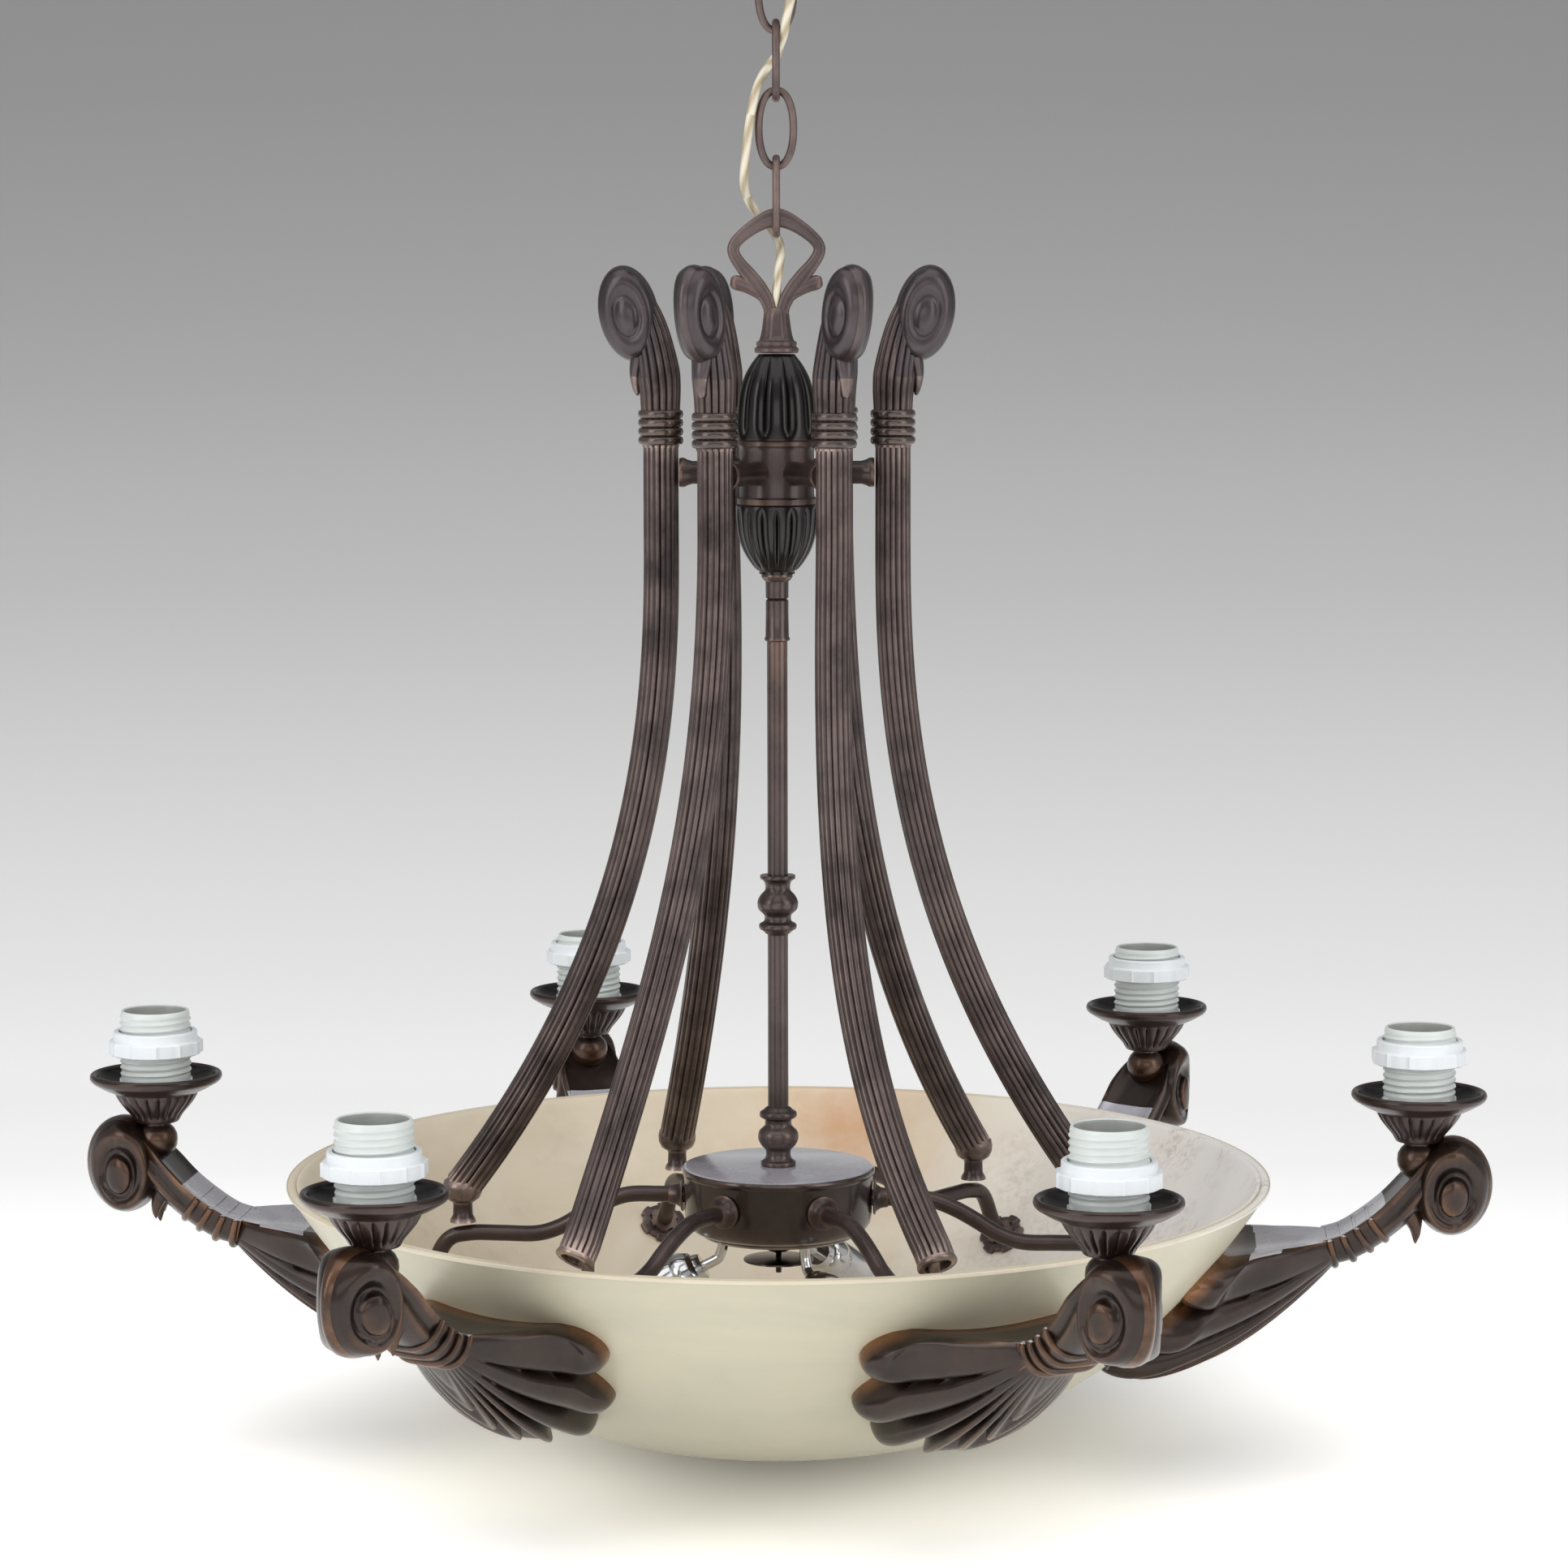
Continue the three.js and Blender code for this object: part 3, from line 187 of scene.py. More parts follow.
lifted = paper_finish.node("VectorMath", {"operation": "SCALE"}, {0: shade, "Scale": 1.75})
seen = paper_finish.node("BsdfDiffuse", {}, {"Color": lifted})
clear = paper_finish.node("BsdfTransparent", {}, {})
back = paper_finish.node("NewGeometry", {}, {}, "Backfacing")
surface = Signal(paper_finish, paper_finish.shader.outputs[0])
rays = [paper_finish.node("LightPath", {}, {}, f"Is {kind} Ray") for kind in ("Camera", "Glossy", "Transmission")]
looked_at = (rays[0] + rays[1] + rays[2]).held()
surface = paper_finish.node("MixShader", {}, {0: looked_at, 1: surface, 2: seen})
both = paper_finish.node("MixShader", {}, {0: back, 1: surface, 2: clear})
paper_finish.tree.links.new(both.socket, paper_finish.tree.nodes["Material Output"].inputs["Surface"])
paper_mesh.materials.append(paper_finish.material)
sweep = bpy.data.objects.new("paper_sweep", paper_mesh)
scene.collection.objects.link(sweep)


def soft_box(name, spot, target, width, depth, power, warmth=(1, 1, 1)):
    lamp = bpy.data.lights.new(name, "AREA")
    lamp.shape, lamp.size, lamp.size_y, lamp.energy, lamp.color = "RECTANGLE", width, depth, power, warmth
    holder = bpy.data.objects.new(name, lamp)
    aim = (Vector(target) - Vector(spot)).to_track_quat("-Z", "Y")
    holder.matrix_world = Matrix.Translation(spot) @ aim.to_matrix().to_4x4()
    scene.collection.objects.link(holder)


soft_box("top_box", (0.0, -0.7, 1.7), (0, 0.1, -0.7), 4.0, 2.8, 36)
soft_box("left_box", (-2.3, -1.9, 0.5), (0, 0, -0.6), 1.4, 2.0, 25)
soft_box("right_box", (2.4, -1.6, 0.3), (0, 0, -0.6), 1.2, 2.0, 17)
soft_box("low_box", (0.0, -3.4, 0.1), (0, 0, -0.7), 2.4, 0.8, 10)
sky = bpy.data.worlds.new("studio_air")
sky.use_nodes = True
sky.node_tree.nodes["Background"].inputs["Color"].default_value = (0.9, 0.9, 0.9, 1)
sky.node_tree.nodes["Background"].inputs["Strength"].default_value = 0.55
scene.world = sky

# Flex: twin gold strands twisted in a clear sheath, laced down the chain and into the loop's foot.
# It is one length, drawn as five stretches that meet end to end.
flex_route = [
    (11, 0, -10), (11, 0, -20), (11.5, -1.2, -30), (12.5, -3.2, -42), (11.8, -5.4, -54), (9.4, -6.3, -63),
    (7.4, -6.3, -70), (5.6, -6, -78), (4.2, -5.2, -86), (2.2, -2.6, -92), (0.4, 0, -97), (-3.4, 0.6, -102),
    (-6.8, -0.8, -107), (-10.6, -2.6, -115.5), (-13.6, -3.2, -129), (-15.4, -3, -142), (-16.9, -1, -155),
    (-17.4, 1.4, -165), (-15.8, 4.4, -172.5), (-12.2, 7.6, -179), (-8, 10.6, -184.5), (-3.6, 12.9, -189.4),
    (0, 13, -194), (2, 10.4, -199), (2.3, 6.4, -204.5), (1.4, 2.8, -211), (0.6, 0.8, -218), (0, 0, -225),
    (0, 0, -236), (0, 0, -246),
]
flex_joins = [0, 5, 10, 14, 18, 29]


def through(points, steps, closed=False):
    """A smooth line through points, with that many steps between each two."""
    points = [Vector(p) for p in points]
    count = len(points)
    line = []
    for k in range(count if closed else count - 1):
        if closed:
            a, b, c, d = (points[(k + n) % count] for n in (-1, 0, 1, 2))
        else:
            a, b, c, d = (points[min(max(k + n, 0), count - 1)] for n in (-1, 0, 1, 2))
        for step in range(steps):
            t = step / steps
            line.append(0.5 * (2 * b + (c - a) * t + (2 * a - 5 * b + 4 * c - d) * t ** 2
                               + (3 * b - a - 3 * c + d) * t ** 3))
    line.append(points[0] if closed else points[-1])
    return line


def skin(across, along, place):
    """A skin of across by along faces; place(u, v) gives each corner's spot for u and v from 0 to 1."""
    made = bmesh.new()
    bmesh.ops.create_grid(made, x_segments=across, y_segments=along, size=0.5)
    for corner in made.verts:
        corner.co = place(corner.co.x + 0.5, corner.co.y + 0.5)
    bmesh.ops.remove_doubles(made, verts=made.verts, dist=1e-4)
    return made


def closed_up(made):
    """Fills the open ends of a skin."""
    bmesh.ops.holes_fill(made, edges=[edge for edge in made.edges if edge.is_boundary], sides=0)
    return made


def swept(path, sides, outline, side=None):
    """A bar along a path; outline(u, v) gives a corner's offsets across and upwards."""
    count = len(path) - 1
    ring = (path[0] - path[-1]).length < 1e-6
    ways = []
    for k in range(count + 1):
        ahead = path[(k + 1) % count] if ring else path[min(k + 1, count)]
        behind = path[(k - 1) % count] if ring else path[max(k - 1, 0)]
        ways.append((ahead - behind).normalized())
    across = Vector(side) if side else ways[0].orthogonal().normalized()
    acrosses = []
    for way in ways:
        across = (across - way * across.dot(way)).normalized()
        acrosses.append(across.copy())

    def place(u, v):
        k = round(v * count)
        out, rise = outline(u, v)
        return path[k] + acrosses[k] * out + ways[k].cross(acrosses[k]) * rise
    made = skin(sides, count, place)
    return made if ring else closed_up(made)


def round_bar(radius):
    """The outline of a round bar; radius is a length or a function of the share along."""
    def outline(u, v):
        size = radius(v) if callable(radius) else radius
        return size * math.cos(2 * math.pi * u), size * math.sin(2 * math.pi * u)
    return outline


def joined(*parts):
    """Several shapes as one."""
    whole = bmesh.new()
    for part in parts:
        mesh = bpy.data.meshes.new("part")
        part.to_mesh(mesh)
        whole.from_mesh(mesh)
        bpy.data.meshes.remove(mesh)
        part.free()
    return whole


def piece(name, made, finish, body, *nodes, slot=None, crease=38, second=None):
    """A finished piece from a shape in millimetres, which rides on a body in place of these nodes."""
    bmesh.ops.scale(made, vec=(0.001, 0.001, 0.001), verts=made.verts)
    bmesh.ops.remove_doubles(made, verts=made.verts, dist=1e-7)
    bmesh.ops.recalc_face_normals(made, faces=made.faces)
    mesh = bpy.data.meshes.new(name)
    made.to_mesh(mesh)
    made.free()
    mesh.materials.append(finish.material)
    if second:
        mesh.materials.append(second.material)
    mesh.shade_smooth()
    mesh.set_sharp_from_angle(angle=math.radians(crease))
    made_object = bpy.data.objects.new(name, mesh)
    scene.collection.objects.link(made_object)
    if body:
        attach(made_object, body)
    if nodes:
        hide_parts(*nodes)
    return made_object


flex_finish = Finish("clear_flex_gold_strands", Roughness=0.28, Coat_Weight=0.8, Coat_Roughness=0.08)
strand = flex_finish.node("SeparateXYZ", {}, {0: flex_finish.node("TexCoord", {}, {}, "UV")}, "X")
turns = Signal(flex_finish, strand.socket.node.outputs["Y"])
weave = flex_finish.node("Math", {"operation": "SINE"}, {0: (strand * 2 + turns * 7) * (2 * math.pi)})
flex_finish.dress(Base_Color=flex_finish.blend(
    (weave * 0.6 + 0.6).held(), tone(178, 162, 128), tone(232, 224, 202)))
flex_finish.grain(weave, 0.0002, 0.3)

flex_line = through(flex_route, 5)
for k in range(5):
    run = flex_line[flex_joins[k] * 5:flex_joins[k + 1] * 5 + 1]
    tube = swept(run, 14, round_bar(2.5))
    uv = tube.loops.layers.uv.new("lay")
    for face in tube.faces:
        for loop in face.loops:
            near = min(range(len(run)), key=lambda n: (run[n] - loop.vert.co).length_squared)
            spoke = loop.vert.co - run[near]
            loop[uv].uv = (math.atan2(spoke.y, spoke.x) / (2 * math.pi), near * 0.012)
    flex = piece(f"flex_stretch_{k + 1}", tube, flex_finish, None, f"flex_{k + 1}", slot="clear_flex")
    path = [p * 0.001 for p in run]
    length = sum((b - a).length for a, b in zip(path, path[1:]))
    tuple(path[0])
    tuple(path[-1])
    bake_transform(flex)
    tuple(path[0])
    [tuple(p) for p in path]

# Chain: four oval links bent from round bronze rod, each square to the last, brown with rubbed edges.
# The bronze of the whole light is dark brown over copper, which shows where hands have rubbed it.
link_drops = [43.3, 79.6, 115.9, 152.2]


def bronze(name, deep, mid, rubbed, rub=1.0, rough=0.4, grain=0.00018, lacquer=0.35, handled=None):
    made = Finish(name, Metallic=0.72, Coat_Weight=lacquer, Coat_Roughness=0.14)
    blotch = made.cloud(42, 5, 0.6)
    fine = made.cloud(420, 3, 0.6)
    edge = made.node("NewGeometry", {}, {}, "Pointiness")
    wear = (((edge - 0.512) * 12).held() * (blotch * 3.2 - 1.05).held() * rub).held()
    if handled:
        wear = (wear + handled(made) * (blotch * 2.6 - 0.5).held()).held()
    hollow = ((0.492 - edge) * 12).held()
    base = made.blend((blotch * 2.2 - 0.6).held(), deep, mid)
    base = made.blend(wear, base, rubbed)
    base = made.blend((hollow * 0.7).held(), base, tone(20, 15, 14))
    made.dress(Base_Color=base, Roughness=(rough + blotch * 0.16 - wear * 0.12).held())
    made.grain(fine + blotch * 1.5, grain, 0.5)
    return made


bronze_finish = bronze("rubbed_bronze", tone(34, 25, 23), tone(58, 43, 38), tone(162, 112, 78), 1.0, 0.32)
link_finish = bronze("chain_bronze", tone(70, 58, 58), tone(104, 89, 87), tone(178, 146, 128), 0.7, 0.42)
# Painted reflection: a pale blue-grey colour for the flat tops of the hub and arms, standing in for the bright studio
# that they reflect.
flat_painted_reflection_finish = bronze("painted_reflection_flat", tone(172, 170, 180), tone(204, 202, 212), tone(208, 204, 206), 0.3, 0.2,
                     0.0001, 1.0)
flat_painted_reflection_finish.dress(Metallic=0.25)

for k, drop in enumerate(link_drops):
    oval = []
    for step in range(49):
        angle = 2 * math.pi * step / 48
        wide = math.copysign(abs(math.cos(angle)) ** 0.88, math.cos(angle)) * 9.4
        high = math.copysign(abs(math.sin(angle)) ** 0.94, math.sin(angle)) * 20.4
        oval.append(Vector((wide, 0, high - drop - 20.4)))
    oval[-1] = oval[0].copy()
    link = swept(oval, 16, round_bar(2.1), side=(0, 1, 0))
    if k % 2:
        bmesh.ops.rotate(link, verts=link.verts, matrix=Matrix.Rotation(math.pi / 2, 3, "Z"), cent=(0, 0, 0))
    name = "link_" + "abcd"[k]
    piece(f"chain_{name}", link, link_finish, name, name, slot="bronze")

# Ceiling rose: a spun bronze cup over the ceiling bar, with the hook that carries the chain.
# The rose hangs on the hook's nut, and the bar is screwed to the ceiling.


def turned(profile, sides=64, ring=False, swell=None):
    """A body of revolution about the upright axis, from points of radius and height."""
    made = bmesh.new()
    corners = [made.verts.new((radius, 0, high)) for radius, high in profile]
    pairs = list(zip(corners, corners[1:])) + ([(corners[-1], corners[0])] if ring else [])
    edges = [made.edges.new(pair) for pair in pairs]
    bmesh.ops.spin(made, geom=corners + edges, axis=(0, 0, 1), cent=(0, 0, 0), angle=2 * math.pi,
                   steps=sides, use_merge=True)
    bmesh.ops.remove_doubles(made, verts=made.verts, dist=1e-4)
    if swell:
        for corner in made.verts:
            share = swell(math.atan2(corner.co.y, corner.co.x), corner.co.z)
            corner.co.x *= share
            corner.co.y *= share
    bmesh.ops.recalc_face_normals(made, faces=made.faces)
    return made


def eased(profile, steps=4):
    """A profile with its corners rounded off."""
    return [(max(p.x, 0.0), p.y) for p in through([Vector((*p, 0)) for p in profile], steps)]


rose_outside = eased([(60, 0), (60, -4), (58.5, -5.5), (54, -8.5), (43, -14), (31, -18.5), (21, -21.4), (18, -22)])
rose_inside = [(2.7, -22), (2.7, -19.5), (16, -19.5), (30, -16), (41, -11.5), (57.5, -5), (57.5, 0)]
piece("rose_cup", turned(rose_outside + rose_inside, 72, ring=True), bronze_finish, "ceiling", "ceiling_rose",
      slot="bronze")
eye_ring = [Vector((0, 10.5 * math.cos(a), -37.5 + 10.5 * math.sin(a)))
            for a in [2 * math.pi * n / 40 for n in range(40)]]
eye_ring.append(eye_ring[0].copy())
hook = swept(eye_ring, 14, round_bar(2.3), side=(1, 0, 0))
shank = swept([Vector((0, 0, z)) for z in (-27, -14, -2)], 14, round_bar(2.3))
nut = bmesh.new()
bmesh.ops.create_cone(nut, cap_ends=True, segments=6, radius1=9, radius2=9, depth=6)
bmesh.ops.translate(nut, vec=(0, 0, -16.2), verts=nut.verts)
bar = bmesh.new()
bmesh.ops.create_cube(bar, size=1)
bmesh.ops.scale(bar, vec=(18, 96, 3), verts=bar.verts)
bmesh.ops.translate(bar, vec=(0, 0, -1.5), verts=bar.verts)
for blank in (nut, bar):
    bmesh.ops.bevel(blank, geom=list(blank.edges), offset=0.5, segments=2, affect="EDGES", profile=0.5, material=-1)
piece("hook_and_bar", joined(hook, shank, nut, bar), link_finish, "ceiling", "rose_hook", slot="bronze")

# Loop: a cast lyre of two ridged bars that spring from a round foot, with a leaf tip on each side.
# The last link hangs it by the bar at the top, and the flex goes down through its foot.
loop_top = -190.1
bar_line = through([(0, 0, 6), (4.5, 0, 5.2), (11.5, 0, 1.6), (18.5, 0, -3.6), (22.8, 0, -8.6), (23, 0, -13.4),
                    (19.5, 0, -19.2), (15, 0, -24.6), (10, 0, -31), (6, 0, -37), (3.6, 0, -43), (3, 0, -51)], 5)
bar_halves = [6.0, 5.4, 4.5, 3.9, 3.7, 3.7, 4.0, 4.6, 4.9, 4.4, 4.0, 3.8]


def bar_outline(u, v):
    spot = min(v * 11, 10.999)
    half = bar_halves[int(spot)] * (1 - spot % 1) + bar_halves[int(spot) + 1] * (spot % 1)
    angle = 2 * math.pi * u
    wide = math.copysign(abs(math.cos(angle)) ** 0.75, math.cos(angle)) * 4
    ridge = 1 - 0.1 * math.cos(4 * angle)
    return wide, math.sin(angle) * half * ridge * 0.95


def raised(points):
    return [p + Vector((0, 0, loop_top)) for p in points]


loop_bar = swept(raised(bar_line), 28, bar_outline, side=(0, 1, 0))
tip_line = through([(3.6, 0, -41), (9, 0, -35.4), (15, 0, -31.6), (20.6, 0, -29.2), (25, 0, -28.4)], 5)
tip = swept(raised(tip_line), 24, lambda u, v: (
    3.7 * math.cos(2 * math.pi * u) * (1 - max(v - 0.8, 0) ** 2 * 16),
    (2.4 + 2.6 * v - 46 * max(v - 0.75, 0) ** 2) * math.sin(2 * math.pi * u) * (1 - 0.14 * math.cos(8 * math.pi * u))),
    side=(0, 1, 0))
loop_half = joined(loop_bar, tip)
bmesh.ops.mirror(loop_half, geom=loop_half.verts[:] + loop_half.edges[:] + loop_half.faces[:], axis="X",
                 merge_dist=0.01)
foot_profile = [(0, -257.1), (11.2, -257.1), (12, -256.2), (12, -254.6), (10.6, -253.4), (11, -252.4), (11, -251.2),
                (9.4, -250.2), (8.6, -247.5), (7.9, -244), (7.4, -240), (6.9, -236), (5.2, -232.8), (0, -231.6)]
foot = turned(foot_profile, 48, swell=lambda a, z: 1 - 0.05 * (0.5 - 0.5 * math.cos(10 * a)) * (z > -250))
piece("loop_casting", joined(loop_half, foot), link_finish, "fixture", "top_loop", slot="bronze")

# Centre body: two gadrooned cups with a plain drum between them, which the pegs to the stems screw into.
# The cups are polished almost black, and the drum and pegs are brown.
cup_finish = bronze("black_polished_bronze", tone(23, 20, 21), tone(34, 28, 28), tone(92, 68, 54), 0.6, 0.22, 0.00008)


def gadroons(count, share, low, high, ease=8.0):
    """Convex lobes with narrow grooves between them, which fade out towards both levels."""
    def swell(angle, high_at):
        fade = min(max((high_at - low) / ease, 0), max((high - high_at) / ease, 0), 1)
        phase = (angle * count / (2 * math.pi)) % 1
        return 1 - share * fade * (1 - max(math.sin(math.pi * phase), 0) ** 0.5)
    return swell


upper_levels = [(22.4, -303.9), (22.6, -300), (22.6, -294), (22, -286), (20.8, -278), (18.2, -270), (14.6, -263.5),
                (11.2, -259.2), (9.8, -257.6)]
upper_cup = turned([(0, -303.9)] + eased(upper_levels) + [(0, -257.4)], 160,
                   swell=gadroons(10, 0.12, -303, -257, 6))
lower_levels = [(22.4, -339.9), (22.6, -342), (22.3, -349), (21.2, -357), (18.6, -364.5), (14.6, -371),
                (11.4, -374.6), (9.8, -375.6), (9.8, -377.1)]
lower_cup = turned([(0, -339.8)] + eased(lower_levels) + [(0, -377.1)], 192,
                   swell=gadroons(16, 0.1, -375.5, -340, 6))
piece("gadrooned_cup_upper", upper_cup, cup_finish, "fixture", "upper_cup", slot="dark_bronze")
piece("gadrooned_cup_lower", lower_cup, cup_finish, "fixture", "lower_cup", slot="dark_bronze")
drum_levels = [(0, -304.2), (21.2, -304.2), (21.6, -304.8), (21.6, -307), (20.6, -308.2), (20.3, -310), (20.3, -333),
               (20.6, -335), (21.8, -336), (21.8, -338.9), (21.2, -339.5), (0, -339.5)]
drum_parts = [turned(drum_levels, 64)]
stem_angles = [math.radians(28.7 + 60 * k - 90) for k in range(6)]
peg_profile = [(0, 18), (6.6, 18), (6.6, 22), (6.2, 24), (6.3, 46), (7, 48.6), (8, 50.4), (8.2, 52), (7.8, 53.2),
               (0, 53.4)]
for angle in stem_angles:
    peg = turned(peg_profile, 28)
    bmesh.ops.rotate(peg, verts=peg.verts, matrix=Matrix.Rotation(math.pi / 2, 3, "Y"), cent=(0, 0, 0))
    bmesh.ops.rotate(peg, verts=peg.verts, matrix=Matrix.Rotation(angle, 3, "Z"), cent=(0, 0, 0))
    bmesh.ops.translate(peg, vec=(0, 0, -321.85), verts=peg.verts)
    drum_parts.append(peg)
drum_finish = bronze("brown_drum_bronze", tone(50, 40, 38), tone(76, 62, 60), tone(130, 102, 86), 0.7, 0.34)
piece("band_and_pegs", joined(*drum_parts), drum_finish, "fixture", "body_band", slot="bronze")

# Centre rod: a plain bronze rod with two sets of turned beads, screwed into a grooved coupling.
# The lower beads stand on the hub, and the flex runs down inside.
rod_finish = bronze("rod_bronze", tone(62, 52, 50), tone(92, 78, 75), tone(158, 126, 106), 0.35, 0.28)
coupling_levels = [(0, -377.4), (8.4, -377.4), (8.6, -378.6), (7.6, -380.2), (6.3, -381.4), (6.2, -389), (6.2, -390.2),
                   (5.2, -391), (6.2, -391.8), (6.2, -399), (6.4, -411.6), (6.9, -412.4), (6.9, -413.5),
                   (6.4, -413.9), (0, -413.9)]
piece("grooved_coupling", turned(coupling_levels, 40), rod_finish, "fixture", "rod_coupling", slot="bronze")
bead_shape = [(9.6, 0), (9.7, 1.8), (8.6, 2.6), (7.3, 4), (6.8, 6.4), (7.2, 8.6), (9.4, 11), (11, 14), (11.2, 16.5),
              (10.6, 19), (8.6, 21), (7.4, 22.6), (7.4, 25), (8.2, 26), (10, 27), (10.4, 28.4), (10, 29.8),
              (8.4, 30.8), (6.9, 32.2), (5.7, 33)]
rod_levels = [(0, -705.2)]
rod_levels += [(radius, -705.2 + high) for radius, high in eased(bead_shape, 3)]
rod_levels += [(5.6, -610), (5.6, -577.6)]
rod_levels += [(radius, -543.2 - high) for radius, high in reversed(eased(bead_shape, 3))]
rod_levels += [(5.6, -543.1), (5.6, -480), (5.6, -414.2), (0, -414.2)]
piece("turned_rod", turned(rod_levels, 40), rod_finish, "fixture", "centre_rod", slot="bronze")

# Hub: a spun bronze pot with a flat top, six holes for the wiring tubes, a cover and a finial nut below.
# Three plated lampholders on short arms hang under it, inside the bowl.
hub_levels = [(0, -705.5), (51, -705.5), (52.6, -705.9), (53.4, -706.8), (53.5, -708.2), (53.3, -709.4), (52.5, -710.2),
              (52.3, -722), (52.1, -732), (51.3, -736.6), (49.3, -739.6), (46.5, -741.5), (44, -741.5), (44, -738.6),
              (48.4, -736), (49.6, -730), (49.8, -712), (49, -708), (0, -708)]
hub_finish = bronze("hub_bronze", tone(40, 31, 29), tone(62, 48, 43), tone(124, 92, 74), 0.6, 0.3, 0.0001, 1.0)
pot = piece("hub_pot", turned(hub_levels, 96), hub_finish, "fixture", "hub_drum", slot="bronze", second=flat_painted_reflection_finish)
# The pot's flat top takes the painted reflection.
for face in pot.data.polygons:
    if face.normal.z > 0.9 and face.center.z > -0.706:
        face.material_index = 1
piece("hub_plate", turned([(0, -741.8), (43.8, -741.8), (43.8, -743), (42, -744.4), (0, -744.8)], 72), hub_finish,
      "fixture", "hub_cover", slot="bronze")
finial = turned([(0, -745.1), (13.8, -745.1), (14.6, -746), (14.4, -747.4), (9.6, -748.4), (9.2, -750), (8, -752.4),
                 (4.4, -754), (2, -754.4), (1.6, -755), (1.6, -766), (0, -766.2)], 36)
disc = turned([(0, -757), (15, -757.4), (19.4, -758.2), (19.6, -759), (15, -759.4), (0, -759.4)], 40)
piece("finial_nut", joined(finial, disc), cup_finish, "fixture", "hub_nut", slot="dark_bronze")

chrome_finish = Finish("bright_plating", Metallic=1.0)
haze = chrome_finish.cloud(60, 3, 0.5)
chrome_finish.dress(Base_Color=chrome_finish.blend((haze * 1.6 - 0.4).held(), tone(196, 198, 200), tone(222, 222, 220)),
                    Roughness=(haze * 0.16 + 0.08).held())
tilt = math.radians(62)
along_way = Vector((math.sin(tilt), 0, -math.cos(tilt)))
knee = Vector((31, 0, -12))
shell_start = knee + along_way * 12
for k in range(3):
    barrel = turned([(0, 0), (7.2, 0), (7.6, 0.8), (8.6, 4), (10.8, 5.4), (11.4, 7), (13.2, 10.6), (13.5, 12.4),
                     (13.5, 15), (12.9, 15.8), (13.5, 16.6), (13.5, 39), (13.9, 40), (13.9, 42), (11.4, 42),
                     (11.2, 40), (10.9, 15), (0, 15)], 40)
    turn = Vector((0, 0, 1)).rotation_difference(along_way).to_matrix()
    bmesh.ops.rotate(barrel, verts=barrel.verts, matrix=turn, cent=(0, 0, 0))
    bmesh.ops.translate(barrel, vec=shell_start, verts=barrel.verts)
    arm = swept(through([(31, 0, 0), (31, 0, -6), (32.6, 0, -11), tuple(knee + along_way * 4),
                         tuple(shell_start + along_way * 2)], 5), 16, round_bar(3), side=(0, 1, 0))
    whole = joined(barrel, arm)
    angle = math.radians(-62 + 120 * k)
    bmesh.ops.rotate(whole, verts=whole.verts, matrix=Matrix.Rotation(angle, 3, "Z"), cent=(0, 0, 0))
    bmesh.ops.translate(whole, vec=(0, 0, -745.1), verts=whole.verts)
    piece(f"inner_holder_{k + 1}", whole, chrome_finish, "fixture", f"inner_lampholder_{k + 1}", slot="chrome")

# Bowl: one turned piece of cream alabaster with a soft rounded rim, polished outside.
# Outside it is greenish cream with faint clouds; inside it is warmer, with an orange stain and grey speckle, painted
# paler than the outside and with a near-white pool of painted light near the rim on the right.
rim = -710.1
bowl_radius, bowl_depth, bowl_wall, bowl_power = 271.5, 145.0, 6.5, 2.87


def bowl_reach(drop):
    return bowl_radius * max(1 - drop / bowl_depth, 0) ** (1 / bowl_power)


def bowl_drop(reach):
    return bowl_depth * (1 - (reach / bowl_radius) ** bowl_power)


def bowl_line(inset, count=44):
    line = []
    for k in range(count + 1):
        reach = bowl_radius * math.cos(math.pi / 2 * k / count)
        slope = math.atan(bowl_depth * bowl_power * (reach / bowl_radius) ** (bowl_power - 1) / bowl_radius)
        line.append((max(reach - inset * math.sin(slope), 0), min(inset * math.cos(slope) - bowl_drop(reach), -0.0)))
    line[-1] = (0, inset - bowl_depth)
    return line


outer, inner = bowl_line(0), bowl_line(bowl_wall)
lip_outside, lip_inside = outer[0][0], inner[0][0]
lip = [(lip_outside - 0.1, -1.6), (lip_outside - 0.9, -0.5), (lip_outside - 2, 0), (lip_inside + 2, 0),
       (lip_inside + 0.8, -0.4), (lip_inside, -1.5)]
bowl_profile = list(reversed(outer[1:])) + lip + inner[1:]
bowl = turned([(radius, rim + high) for radius, high in bowl_profile], 160)


def alabaster(name, pale, cloudy, fleck, marks_and_painted_light=None):
    made = Finish(name, Coat_Weight=0.25, Coat_Roughness=0.25, Subsurface_Weight=0.0)
    drift = made.node("Mapping", {}, {"Vector": made.place, "Location": (3.1, 1.7, 0.4), "Scale": (1, 1, 2.2)})
    big = made.node("TexNoise", {}, {"Vector": drift, "Scale": 6.0, "Detail": 5.0, "Roughness": 0.58,
                                     "Distortion": 0.9})
    mid = made.cloud(24, 6, 0.62)
    speck = made.cloud(210, 4, 0.7)
    base = made.blend((big * 2.6 - 0.85).held(), pale, cloudy)
    base = made.blend(((mid - 0.56) * 3.4).held() * 0.45, base, fleck)
    if marks_and_painted_light:
        base = marks_and_painted_light(made, base, speck, mid)
    base = made.blend(((speck - 0.66) * 5).held() * 0.35, base, tone(168, 150, 118))
    made.dress(Base_Color=base, Roughness=(0.3 + mid * 0.22).held())
    made.grain(mid + speck * 0.4, 0.0003, 0.35)
    return made


def near(made, spot, reach, power=1.6):
    """A patch that fades away from a spot, in metres."""
    away = made.node("VectorMath", {"operation": "DISTANCE"}, {0: made.place, 1: spot}, "Value")
    return (1 - away * (1 / reach)).held() ** power


